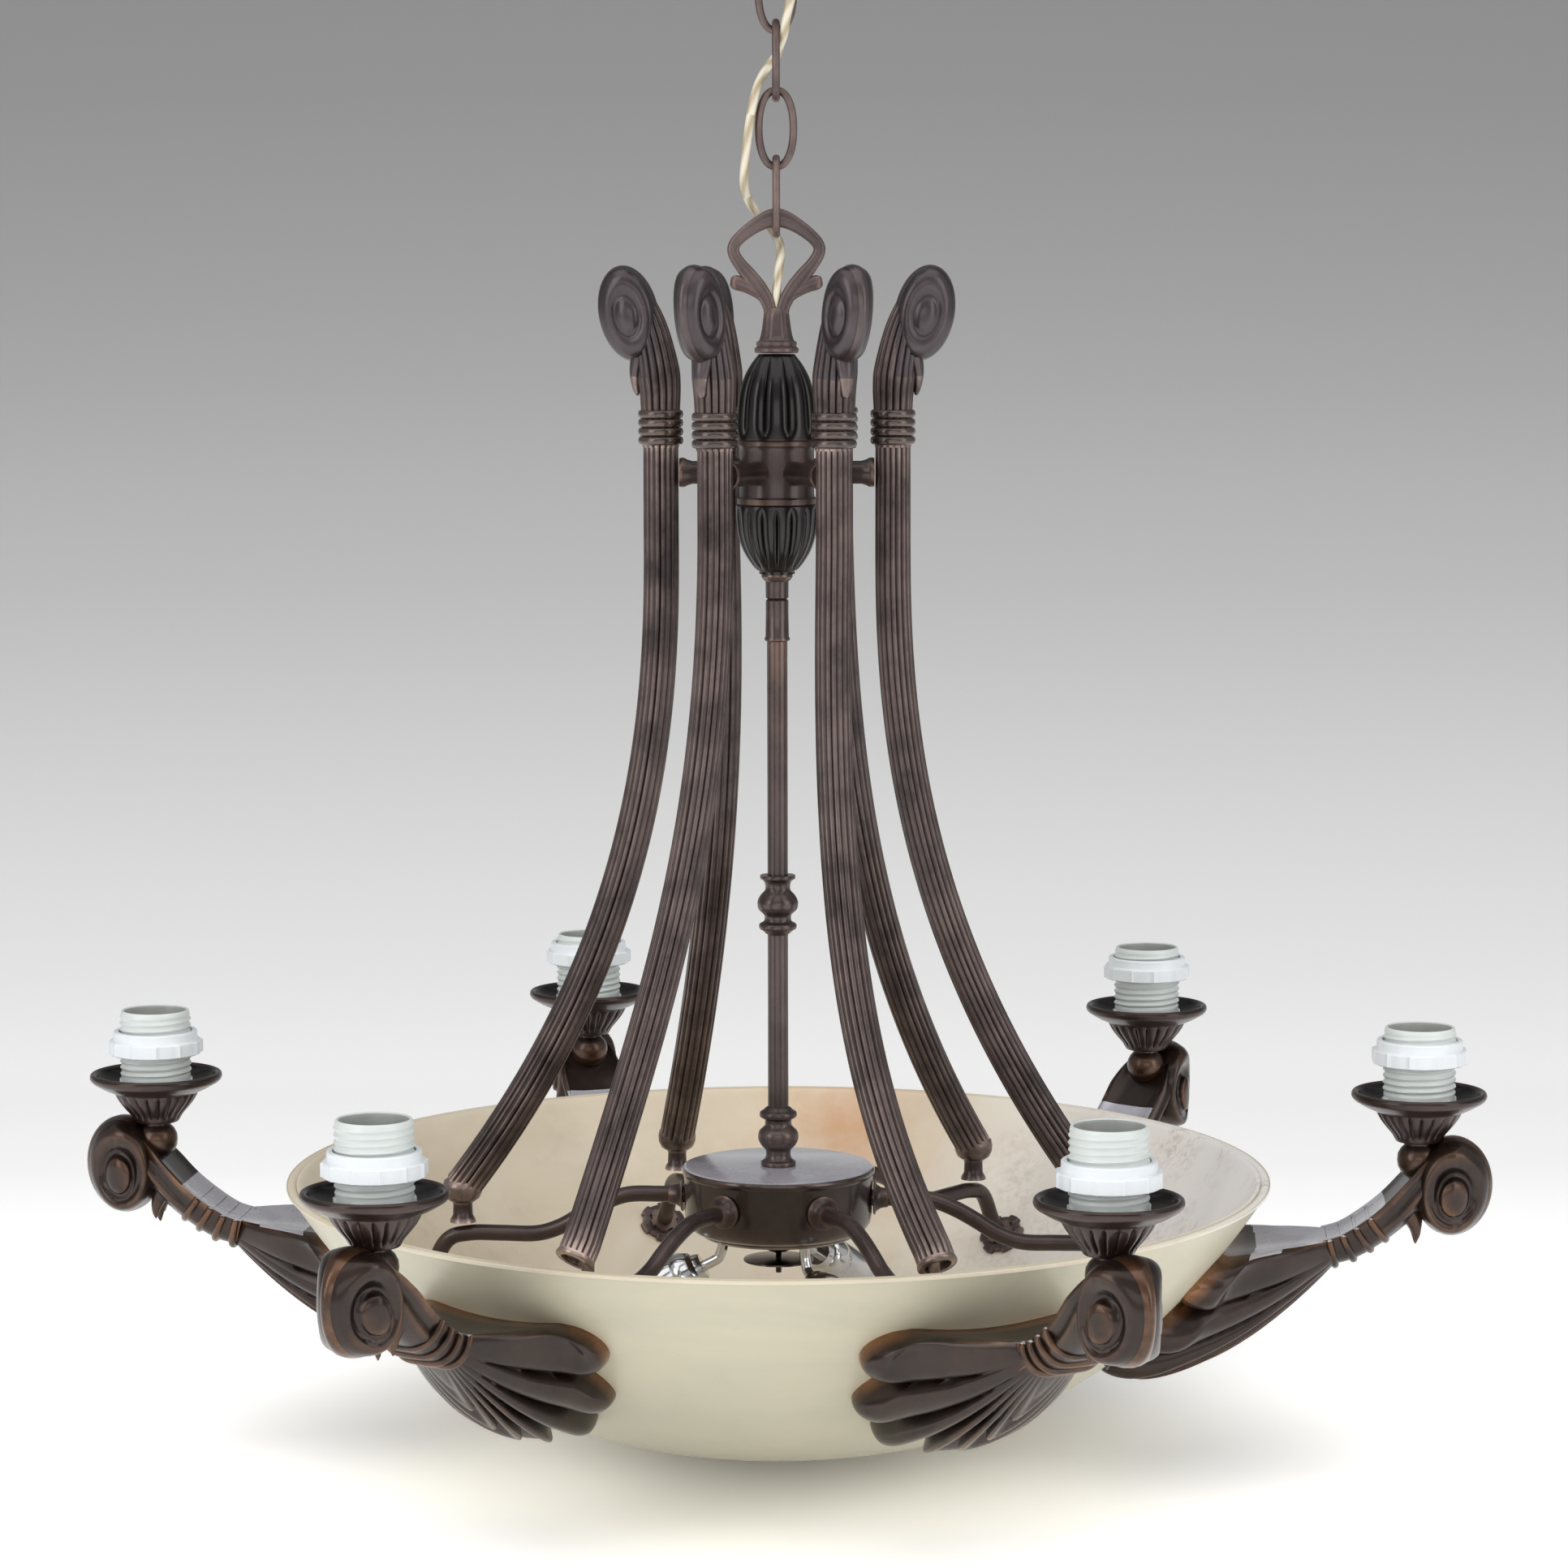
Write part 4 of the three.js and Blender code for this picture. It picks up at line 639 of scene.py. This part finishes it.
def inside_stains_and_painted_light(made, base, speck, mid):
    orange = (near(made, (0.045, 0.25, -0.735), 0.085) * (mid * 2.4 - 0.4)).held()
    base = made.blend((orange * 0.75).held(), base, tone(214, 152, 100))
    rust = (near(made, (0.0, 0.262, -0.722), 0.16, 1.0) * (mid * 1.8 - 0.5)).held()
    base = made.blend((rust * 0.35).held(), base, tone(222, 186, 146))
    # Painted light: a near-white pool on the inside right near the rim; the grey speckle within it is the stone's own.
    painted_light_patch = near(made, (0.25, 0.04, -0.72), 0.24, 0.5)
    base = made.blend(painted_light_patch, base, tone(250, 247, 244))
    grey = (painted_light_patch * ((mid - 0.46) * 5).held() * ((speck - 0.42) * 4).held()).held()
    base = made.blend((grey * 0.75).held(), base, tone(176, 152, 138))
    brown = (near(made, (-0.2, 0.12, -0.75), 0.16, 1.0) * (mid * 2 - 0.7)).held()
    return made.blend((brown * 0.4).held(), base, tone(186, 160, 124))


outside_finish = alabaster("alabaster_outside", tone(219, 212, 186), tone(204, 199, 176), tone(191, 187, 165))
# The inside copy is the same stone, warmer and stained, with its tones also painted paler than the outside's as painted
# light.
inside_finish_painted_paler = alabaster("alabaster_inside_painted_paler", tone(233, 223, 202), tone(216, 200, 174), tone(190, 170, 142),
                          inside_stains_and_painted_light)
bowl_object = piece("alabaster_bowl", bowl, outside_finish, "fixture", "bowl", slot="alabaster", second=inside_finish_painted_paler)
# Inward faces, upward faces low in the bowl and the top of the lip take the inside copy with its painted light.
for face in bowl_object.data.polygons:
    middle = face.center
    outwards = face.normal.x * middle.x + face.normal.y * middle.y
    if outwards < 0 or (face.normal.z > 0.8 and middle.z < (rim - 20) * 0.001):
        face.material_index = 1
    if face.normal.z > 0.5 and (middle.z < (rim - 5) * 0.001 or middle.z > (rim - 1) * 0.001):
        face.material_index = 1

# Arms: six bronze castings. A limb runs out from a palmette shell, through a bound collar, up to a volute,
# and its flat top carries a ball that the drip pan stands on. The shell's nine petals clasp the bowl.
def petal_ends(made):
    """1 where the petals end on the bowl, fading out along them and towards the shell's underside."""
    spread = made.node("SeparateXYZ", {}, {0: made.place})
    x, y, z = (Signal(made, spread.socket.node.outputs[axis]) for axis in "XYZ")
    fall = (z * -1 + rim * 0.001) * (1000 / bowl_depth)
    gap = (x * x + y * y) ** 0.5 - ((1 - fall).held() ** (1 / bowl_power)) * (bowl_radius * 0.001)
    return (1.35 - gap * 110).held() * ((z + 0.806) * 26).held() * ((-0.728 - z) * 80).held()


arm_finish = bronze("arm_bronze", tone(28, 19, 15), tone(53, 37, 29), tone(138, 97, 66), 0.95, 0.28, handled=petal_ends)
arm_set_offs = [-1.6, -3.3, -8.6, -8.9, -5.0, -2.7]
arm_angles = [angle + math.radians(off) for angle, off in zip(stem_angles, arm_set_offs)]
limb_reaches = [0, 0.14, 0.3, 0.47, 0.64, 0.8, 1]
limb_rises = [0, 0.06, 0.2, 0.39, 0.64, 0.86, 1]
limb_top = through([(300 + 71 * reach, 0, -29.5 + 51.4 * rise) for reach, rise in zip(limb_reaches, limb_rises)], 8)
limb_half, limb_deep = 19.0, 16.0


def limb_outline(u, v, grow=0.0):
    angle = 2 * math.pi * u
    wide = math.copysign(abs(math.cos(angle)) ** 0.45, math.cos(angle))
    wide *= 1 - 0.62 * min(max((v - 0.62) / 0.38, 0), 1) ** 1.5
    if math.sin(angle) > 0:
        return (limb_half + grow) * wide, 0.8 * math.sin(angle) - 1.6 * math.sin(angle) ** 4 - 4.6 * grow
    below = abs(math.sin(angle)) ** 0.8
    flame = math.sin(3.2 * math.pi * below + 2.4 * v) * 1.5 * math.sin(math.pi * min(max(v * 1.3 - 0.3, 0), 1))
    half = limb_half - 2.6 * below ** 3 * (1 - 0.4 * v) + flame
    return (half + grow) * wide, -(limb_deep + 7 * v * (1 - v) + grow) * below


limb = swept(limb_top, 72, limb_outline, side=(0, 1, 0))
arm_parts = [limb]
for k in range(4):
    spot = limb_top[3 + 5 * k]
    way = (limb_top[4 + 5 * k] - limb_top[2 + 5 * k]).normalized()
    rise = way.cross(Vector((0, 1, 0)))
    ring_line = []
    for step in range(64):
        out, up = limb_outline(step / 64, 0.08, grow=0.4)
        if abs(out) > 15 and up > -6:
            up -= 0.12 * (abs(out) - 15)
        ring_line.append(spot + Vector((0, out, 0)) + rise * up)
    ring_line.append(ring_line[0].copy())
    arm_parts.append(swept(ring_line, 12, round_bar(2.2)))

shell_set = -13.0
petal_spans = [24, 17, 11, 9, 8, 7.5, 7, 6.5]
keel_sweep = 40.0


def petal_crest(turn, along):
    """How high a petal stands, 0 in a deep groove and 1 along its back, and how far it is scooped.
    The petals are counted from the shell's top edge, and the lowest sweep down and end along its keel."""
    from_keel = abs(turn) + keel_sweep * along * (1 - abs(turn) / 90) ** 2
    edge = 90.0
    for span in petal_spans:
        if from_keel > edge - span or span == petal_spans[-1]:
            share = min(max((edge - from_keel) / span, 0), 1)
            across = max(math.sin(math.pi * share ** 0.82), 0)
            back = across ** (0.55 if span > 9 else 0.85)
            return 1 - min(span / 9, 1) * (1 - back), across ** 2 * min(max(span - 14, 0) / 10, 1)
        edge -= span


def shell_spot(turn, along):
    sine, cosine = math.sin(math.radians(turn)), max(math.cos(math.radians(turn)), 0)
    crest, scoop = petal_crest(turn, along)
    root = Vector((302 + 4.8 * cosine ** 0.6, 18.6 * math.copysign(abs(sine) ** 0.6, sine),
                   -29.5 - 14.7 * cosine ** 0.6))
    reach_out = 0.87 + 0.16 * crest
    lip_fall = 31 + 69 * cosine * reach_out
    lip_side = 60 * sine * reach_out
    lip_out = math.sqrt(bowl_reach(lip_fall) ** 2 - lip_side ** 2) - 3.5
    end = Vector((lip_out, lip_side, -lip_fall))
    belly = Vector((243 + 25 * (1 - cosine), 47 * sine, -31 - 84 * cosine))
    spot = root * (1 - along) ** 2 + belly * (2 * along * (1 - along)) + end * along ** 2
    spine = Vector((300 - 36 * along, 0, -31))
    groove = 0.2 * min(along * 2.2, 1) * (1 - crest)
    spot = spine.lerp(spot, 1 - groove)
    steep = math.atan(bowl_depth * bowl_power * (lip_out / bowl_radius) ** (bowl_power - 1) / bowl_radius)
    away = Vector((math.sin(steep) * 0.9, sine * 0.5, -math.cos(steep))).normalized()
    nose = along ** 2 * (math.sqrt(max(1 - ((along - 0.88) / 0.12) ** 2, 0)) if along > 0.88 else 1)
    roll = 4.5 * abs(sine) ** 2 * crest * math.exp(-((along - 0.84) / 0.1) ** 2)
    dip = 5.5 * scoop * math.exp(-((along - 0.62) / 0.24) ** 2)
    spot += away * (nose * (2.5 + 6.5 * crest) + roll - dip)
    spot.y += shell_set * (max(340 - spot.x, 0) / 140) ** 1.3
    return spot


def shell_place(u, v):
    along = 1 - (1 - v) ** 1.35
    if u <= 0.86:
        return shell_spot(-90 + 180 * u / 0.86, along)
    share = (u - 0.86) / 0.14
    spot = shell_spot(90, along).lerp(shell_spot(-90, along), share)
    return spot - Vector((0, 0, 3.2 * math.sin(math.pi * share) * min(along * 4, 1)))


arm_parts.append(closed_up(skin(210, 56, shell_place)))


def volute(centre, half, tilt, widths, eye, face, crescent=None):
    """An oval drum across the arm's plane that narrows outwards; widths are half widths from in to out.
    The face is a list of shares of the oval and depths below the cheek, from the eye to the edge."""
    lean = Matrix.Rotation(math.radians(tilt), 3, "Y")
    rim = [(1.0, depth) for depth in (0.48, 0.24, 0.0, -0.24, -0.48)]
    profile = [(share, depth, 1) for share, depth in face] + [(share, depth, 0) for share, depth in rim]
    profile += [(share, depth, -1) for share, depth in reversed(face)]

    def place(u, v):
        share, depth, side = profile[round(v * (len(profile) - 1))]
        angle = 2 * math.pi * u
        edge = Vector((half[0] * math.cos(angle), 0, half[1] * math.sin(angle)))
        middle = Vector((eye[0], 0, eye[1]))
        spot = middle.lerp(edge, share)
        out = min(max(spot.x / half[0] * 0.5 + 0.5, 0), 1) * (len(widths) - 1)
        low = int(min(out, len(widths) - 1.001))
        width = widths[low] + (widths[low + 1] - widths[low]) * (out - low)
        depth *= min(width / widths[0] * 1.1, 1) if side else 1
        if side:
            if crescent and depth > 2 and share < 0.75:
                depth *= 0.12 + 0.88 * (0.5 + 0.5 * math.cos(angle - crescent)) ** 0.8
            spot.y = side * (width - depth)
        else:
            spot.y = depth * width
            spot.x += 0.1 * half[0] * (1 - (depth / 0.48) ** 2) * math.cos(angle)
            spot.z += 0.06 * half[1] * (1 - (depth / 0.48) ** 2) * math.sin(angle)
        return Vector(centre) + lean @ spot
    return skin(72, len(profile) - 1, place)


scroll_widths = [19, 19, 18.8, 18.2, 17, 14.8, 12, 9, 6.8]
scroll_face = [(0, -2.0), (0.2, -1.9), (0.33, -1.5), (0.375, -0.7), (0.39, 0.6), (0.4, 2.4), (0.42, 4.4), (0.46, 5.2),
               (0.5, 4.8), (0.54, 3.6), (0.58, 2.3), (0.63, 1.0), (0.69, 0.0), (0.76, -0.5), (0.82, -0.2),
               (0.86, 0.7), (0.9, 2.0), (0.94, 4.0), (0.975, 6.6), (1.0, 9.6)]
arm_parts.append(volute((370.6, 0, -1.5), (20.0, 26.0), 2.3, scroll_widths, (0.5, -7.0), scroll_face, 1.1))
ball = turned([(0, 2.6), (6.4, 3.2), (9.4, 5.6), (11.2, 9.2), (11.6, 12.6), (11.2, 16), (9.6, 19), (7.8, 20.8),
               (7.6, 21.6), (7.6, 22.1), (0, 22.1)], 40)
bmesh.ops.translate(ball, vec=(352, 0, 0), verts=ball.verts)
arm_parts.append(ball)
for side, size in ((0, 1.0), (-9.5, 0.72), (9.5, 0.72)):
    spur_line = through([(345, side, -12), (349, side, -19), (351, side, -26), (351, side, -22 - 12.5 * size)], 6)
    arm_parts.append(swept(spur_line, 16, lambda u, v, size=size: (
        size * (6.4 * (1 - v) ** 0.8 + 0.2) * math.cos(2 * math.pi * u),
        size * (8.4 * (1 - v) ** 0.9 + 0.2) * math.sin(2 * math.pi * u)), side=(0, 1, 0)))
arm_shape = joined(*arm_parts)


def set_round(shape, angle, level=rim):
    """A copy of a shape, turned to its place round the light and put at its level."""
    made = shape.copy()
    bmesh.ops.rotate(made, verts=made.verts, matrix=Matrix.Rotation(angle, 3, "Z"), cent=(0, 0, 0))
    bmesh.ops.translate(made, vec=(0, 0, level), verts=made.verts)
    return made


for k, angle in enumerate(arm_angles):
    arm = piece(f"scroll_arm_{k + 1}", set_round(arm_shape, angle), arm_finish, "fixture", f"arm_{k + 1}",
                slot="bronze", crease=60, second=flat_painted_reflection_finish)
    # Upward faces of the limb, and of the shell on two of the arms, take the painted reflection.
    for face in arm.data.polygons:
        reach = math.hypot(face.center.x, face.center.y)
        limb_top_painted_reflection = 0.3 < reach < 0.362 and face.normal.z > 0.72
        shell_top_painted_reflection = 0.264 < reach < 0.302 and face.normal.z > 0.92 and k in (1, 4)
        if (limb_top_painted_reflection or shell_top_painted_reflection) and face.center.z < rim * 0.001:
            face.material_index = 1

# Drip pans: a gadrooned cup under a wide shallow dish with a thick rolled lip, with shade painted near black inside the
# dish.
# One nut holds pan, cup and lampholder down on the arm's ball.
pan_finish = bronze("pan_bronze", tone(42, 31, 29), tone(64, 48, 43), tone(120, 88, 70), 0.5, 0.32, 0.0001)
# Painted shade: a near-black colour for the inside of the dish, the recess that the lampholder stands in.
pan_painted_shade = bronze("pan_inside_painted_shade", tone(16, 14, 14), tone(24, 20, 20), tone(44, 34, 30), 0.4, 0.3, 0.00008)
cup = turned([(0, 22.4)] + eased([(9, 22.4), (12, 23), (13, 24.2), (14.6, 27), (18, 31), (20.8, 34.6), (22.8, 38),
                                  (23.4, 40), (22.8, 41.2)], 4) + [(0, 41.6)], 160,
             swell=gadroons(20, 0.09, 24.6, 40.6, 3))
dish_under = eased([(20, 39.6), (23.6, 39.9), (28.8, 42), (33.4, 44.6), (35.8, 46.2), (36.9, 48.2), (36.4, 50.2),
                    (34.8, 50.8), (33.2, 49.8), (31.8, 47.6), (28, 45), (22.6, 43.2), (14, 42.6)], 4)
dish = turned([(0, 40.2)] + dish_under + [(0, 42.4)], 96)
pan_shape = joined(cup, dish)
bmesh.ops.translate(pan_shape, vec=(352, 0, 0), verts=pan_shape.verts)
for k, angle in enumerate(arm_angles):
    pan = piece(f"gadrooned_pan_{k + 1}", set_round(pan_shape, angle), pan_finish, "fixture", f"drip_pan_{k + 1}",
                slot="bronze", second=pan_painted_shade)
    # The dish's upward faces inside the lip take the painted shade.
    for face in pan.data.polygons:
        if face.normal.z > 0.25 and face.center.z > (rim + 42) * 0.001 and face.center.z < (rim + 49.6) * 0.001:
            face.material_index = 1

# Lampholders: off-white moulded barrels with a coarse outside thread, hollow at the top, notched at the foot.
# Each carries a shade ring, a brighter white nut with grip lugs and a narrower collar.
holder_finish = Finish("off_white_moulding", Coat_Weight=0.2, Coat_Roughness=0.2)
haze = holder_finish.cloud(55, 4, 0.5)
holder_finish.dress(Base_Color=holder_finish.blend((haze * 2 - 0.5).held(), tone(210, 217, 214), tone(222, 227, 224)),
                    Roughness=(haze * 0.15 + 0.3).held())
holder_finish.grain(haze, 0.0001, 0.4)
hollow_finish = Finish("holder_hollow", Roughness=0.5)
haze = hollow_finish.cloud(80, 4, 0.5)
hollow_finish.dress(Base_Color=hollow_finish.blend((haze * 2 - 0.5).held(), tone(150, 152, 148), tone(172, 174, 170)))
ring_finish = Finish("white_moulding", Coat_Weight=0.3, Coat_Roughness=0.15)
haze = ring_finish.cloud(55, 4, 0.5)
ring_finish.dress(Base_Color=ring_finish.blend((haze * 2 - 0.5).held(), tone(228, 234, 238), tone(236, 240, 243)),
                  Roughness=(haze * 0.12 + 0.26).held())
ring_finish.grain(haze, 0.0001, 0.4)

barrel_rows = [(18.9, 41.8), (19.4, 42.2), (19.4, 49)]
thread_rows = [(19.4, 49 + n * 0.6) for n in range(1, 59)]
barrel_rows += thread_rows + [(19.2, 84.6), (18.9, 85.8), (18.4, 86.3), (17.8, 86.3), (17.4, 85.7), (17.3, 84),
                              (17.3, 57), (17.2, 54.2), (4.4, 54), (4, 54.6), (4, 56.6), (3.2, 57), (0, 57)]
barrel = turned([(0, 41.8)] + barrel_rows, 72)
for corner in barrel.verts:
    reach = math.hypot(corner.co.x, corner.co.y)
    if reach > 19 and 49.2 < corner.co.z < 84.2:
        turn = math.atan2(corner.co.y, corner.co.x) / (2 * math.pi)
        fade = min((corner.co.z - 49.2) / 2, (84.2 - corner.co.z) / 2, 1)
        wave = (math.cos(2 * math.pi * (corner.co.z / 3.6 - turn)) * 0.5 + 0.5) ** 1.6
        share = 1 + (wave * 1.0 - 0.45) * fade / reach
        corner.co.x *= share
        corner.co.y *= share
notches = []
for n in range(6):
    tooth = bmesh.new()
    bmesh.ops.create_cube(tooth, size=1)
    bmesh.ops.scale(tooth, vec=(2.2, 7.2, 5.2), verts=tooth.verts)
    bmesh.ops.bevel(tooth, geom=list(tooth.edges), offset=0.5, segments=2, affect="EDGES", profile=0.5, material=-1)
    bmesh.ops.translate(tooth, vec=(19.2, 0, 45), verts=tooth.verts)
    bmesh.ops.rotate(tooth, verts=tooth.verts, matrix=Matrix.Rotation(math.radians(60 * n + 15), 3, "Z"),
                     cent=(0, 0, 0))
    notches.append(tooth)
holder_shape = joined(barrel, *notches)
bmesh.ops.translate(holder_shape, vec=(352, 0, 0), verts=holder_shape.verts)
ring_levels = [(20.6, -6.5), (25.1, -6.5), (25.6, -6), (25.6, 0.6), (25.1, 1.2), (23.6, 1.6), (23.4, 2.2), (23.4, 5.9),
             (22.9, 6.5), (20.6, 6.5)]
nut = turned(ring_levels, 96, ring=True, swell=lambda a, z: 1 + 0.035 * (
    abs(math.sin(6 * a)) > 0.93) * (z < 1.3) * (z > -6.3))
bmesh.ops.translate(nut, vec=(352, 0, 0), verts=nut.verts)
ring_rises = [12, 22, 23, 24, 17.4, 13.6]
for k, angle in enumerate(arm_angles):
    holder = piece(f"threaded_barrel_{k + 1}", set_round(holder_shape, angle), holder_finish, "fixture",
                   f"lampholder_{k + 1}", slot="white_plastic", second=hollow_finish)
    middle = (0.352 * math.cos(angle), 0.352 * math.sin(angle))
    for face in holder.data.polygons:
        if math.dist(face.center[:2], middle) < 0.01738 and face.center.z > (rim + 53) * 0.001:
            face.material_index = 1
    piece(f"shade_nut_{k + 1}", set_round(nut, angle, rim + 50.8 + ring_rises[k]), ring_finish, f"ring_{k + 1}",
          f"shade_ring_{k + 1}", slot="white_plastic", crease=30)

# Stems: six reeded bronze tubes that bend out to the bowl. Each has a bud-shaped volute head and four rings
# round its neck; the two at the front end in open cut tubes, the others in a ball on a short neck.
stem_reach, bend_top, foot_level = 63.3, 350.0, -11.0
stem_spread, stem_power = 114.5, 2.4
stem_bows = [-0.08, 0, 0, 0, 0, -0.08]
stem_leans = [0, 0, 0, 0, 0, -0.03]


def stem_centre(level, k):
    share = max(bend_top - level, 0) / (bend_top - foot_level)
    reach = stem_reach + stem_spread * share ** stem_power
    turn = math.radians(arm_set_offs[k]) * share + stem_bows[k] * math.sin(math.pi * min(share, 1) ** 1.5)
    turn += stem_leans[k] * share ** 3
    return Vector((reach * math.cos(turn), reach * math.sin(turn), level))


def reeded(radius, count=17, share=0.13):
    def outline(u, v):
        size = radius(v) if callable(radius) else radius
        size *= 1 - share * (1 - abs(math.sin(math.pi * count * u)) ** 0.6)
        return size * math.cos(2 * math.pi * u), size * math.sin(2 * math.pi * u)
    return outline


stem_finish = bronze("reeded_bronze", tone(44, 35, 34), tone(82, 67, 65), tone(186, 164, 154), 1.35, 0.3)
head_finish = bronze("head_bronze", tone(52, 45, 47), tone(73, 64, 67), tone(118, 103, 102), 0.5, 0.32)
head_face = [(0, -0.9), (0.16, -0.8), (0.28, -0.3), (0.36, 0.6), (0.42, 1.3), (0.47, 1.4), (0.52, 0.8), (0.58, 0.1),
             (0.65, -0.2), (0.72, -0.1), (0.79, 0.2), (0.85, 0.8), (0.9, 1.6), (0.94, 2.6), (0.975, 3.8),
             (1.0, 5.4)]
head_widths = [10.6, 10.6, 10.6, 10.4, 9.9, 9.1, 8.1, 7.1, 6.2]
for k in range(6):
    front = k in (0, 5)
    end = foot_level - (4 if front else 0)
    line = [stem_centre(end + (405 - end) * n / 70, k) for n in range(70, -1, -1)]
    shaft = swept(line, 144, reeded(lambda v: 9.6 + 0.8 * v), side=(0, 1, 0))
    parts = [shaft]
    for n in range(4):
        level = 422.5 - 2.4 - 4.8 * n
        parts.append(turned([(9, level - 2.4), (11.4, level - 2.2), (12.1, level - 1.4), (12.4, level),
                             (12.1, level + 1.4), (11.4, level + 2.2), (9, level + 2.4)], 48, ring=True))
        bmesh.ops.translate(parts[-1], vec=(stem_reach, 0, 0), verts=parts[-1].verts)
    neck_line = through([(63.3, 0, 402), (63.3, 0, 422), (63.6, 0, 436), (65.4, 0, 450), (69, 0, 466),
                         (74, 0, 479), (79, 0, 488), (83, 0, 492)], 6)
    parts.append(swept(neck_line, 128, reeded(
        lambda v: 10 + 1.8 * min(v * 3, 1) - 9.6 * max(v - 0.34, 0) ** 1.15, 16, 0.12), side=(0, 1, 0)))
    parts.append(volute((80.4, 0, 474.6), (14.8, 24.8), 11, head_widths, (1.5, -1.5), head_face))
    leaf_line = through([(71.4, 0, 462), (74.8, 0, 452), (76.6, 0, 444), (76.8, 0, 437), (75.8, 0, 430)], 6)
    parts.append(swept(leaf_line, 16, lambda u, v: (
        (6.6 * (1 - v) ** 0.6 + 0.5) * math.cos(2 * math.pi * u),
        (4.6 * (1 - v) ** 0.6 + 0.5) * math.sin(2 * math.pi * u)), side=(0, 1, 0)))
    foot = Matrix.Rotation(-stem_leans[k], 3, "Z") @ stem_centre(foot_level, k)
    if front:
        way = (stem_centre(end - 1, k) - stem_centre(end + 1, k)).normalized()
        cut = turned([(7.2, -1), (10.5, -1), (10.9, 0.4), (10.9, 1.6), (10.4, 2.2), (7.4, 2.2)], 40, ring=True)
        bmesh.ops.rotate(cut, verts=cut.verts, cent=(0, 0, 0),
                         matrix=Vector((0, 0, 1)).rotation_difference(way).to_matrix())
        bmesh.ops.translate(cut, vec=stem_centre(end, k), verts=cut.verts)
        ends = [cut, turned([(0, -31), (5.4, -31), (4.8, -29), (3.4, -26), (3.4, -14), (0, -12)], 28)]
    else:
        ends = [turned([(0, -20), (6.6, -19.4), (9.4, -17.4), (10.9, -14), (11.1, -10.6), (10.4, -7.4), (8, -6),
                        (0, -5.6)], 40),
                turned([(0, -31.2), (7.4, -31), (7, -29.4), (5.6, -27), (5.4, -21), (6.4, -18), (0, -16)], 32)]
    for part in ends[-1:] if front else ends:
        bmesh.ops.translate(part, vec=(foot.x, foot.y, 0), verts=part.verts)
    parts += ends
    stem = joined(*parts)
    placed = set_round(stem, stem_angles[k])
    stem.free()
    stem = piece(f"reeded_stem_{k + 1}", placed, stem_finish, "fixture", f"stem_{k + 1}", slot="bronze", crease=50,
                 second=hub_finish)
    stem.data.materials.append(head_finish.material)
    for face in stem.data.polygons:
        high = face.center.z * 1000 - rim
        if 403.2 < high < 422.6:
            face.material_index = 1
        elif high > 440 and math.hypot(face.center.x, face.center.y) > 0.0655:
            face.material_index = 2

# Wiring tubes: bent bronze tubes from the hub, out under the stems' feet and through the bowl into the arms.
# Each has a flared flange at the hub and a toothed washer against the bowl's inside.
wall_reach = 211.0
wall_slope = math.atan(bowl_depth * bowl_power * (wall_reach / bowl_radius) ** (bowl_power - 1) / bowl_radius)
wall = Vector((wall_reach, 0, -bowl_drop(wall_reach)))
wall_way = Vector((math.sin(wall_slope), 0, -math.cos(wall_slope)))
tube_line = through([(50.5, 0, -13), (66, 0, -13), (84, 0, -13.6), (98, 0, -18.6), (110, 0, -25.2), (122, 0, -32.4),
                     (136, 0, -36.8), (156, 0, -37), (174, 0, -37.4), (187, 0, -42),
                     tuple(wall - wall_way * 19.5), tuple(wall), tuple(wall + wall_way * 13.8)], 6)
tube = swept(tube_line, 24, round_bar(4.5), side=(0, 1, 0))
flare = turned([(4.2, 0), (9.4, 0), (9.4, 0.8), (7.4, 1.6), (5.8, 4), (5.1, 8), (4.2, 8)], 32, ring=True)
bmesh.ops.rotate(flare, verts=flare.verts, matrix=Matrix.Rotation(math.pi / 2, 3, "Y"), cent=(0, 0, 0))
bmesh.ops.translate(flare, vec=(53.0, 0, -13), verts=flare.verts)
washer = turned([(3.6, 0.4), (13.6, 0.4), (14, 1), (13.8, 2.6), (12, 3.4), (9, 3.6), (8.4, 5.6), (3.6, 5.8)], 96,
                ring=True, swell=lambda a, z: 1 - 0.12 * (math.sin(6 * a) > 0.1))
bmesh.ops.rotate(washer, verts=washer.verts, cent=(0, 0, 0),
                 matrix=Vector((0, 0, -1)).rotation_difference(wall_way).to_matrix())
bmesh.ops.translate(washer, vec=wall - wall_way * bowl_wall, verts=washer.verts)
tube_shape = joined(tube, flare, washer)
for k, angle in enumerate(arm_angles):
    piece(f"bent_tube_{k + 1}", set_round(tube_shape, angle), drum_finish, "fixture", f"wiring_tube_{k + 1}",
          slot="bronze")
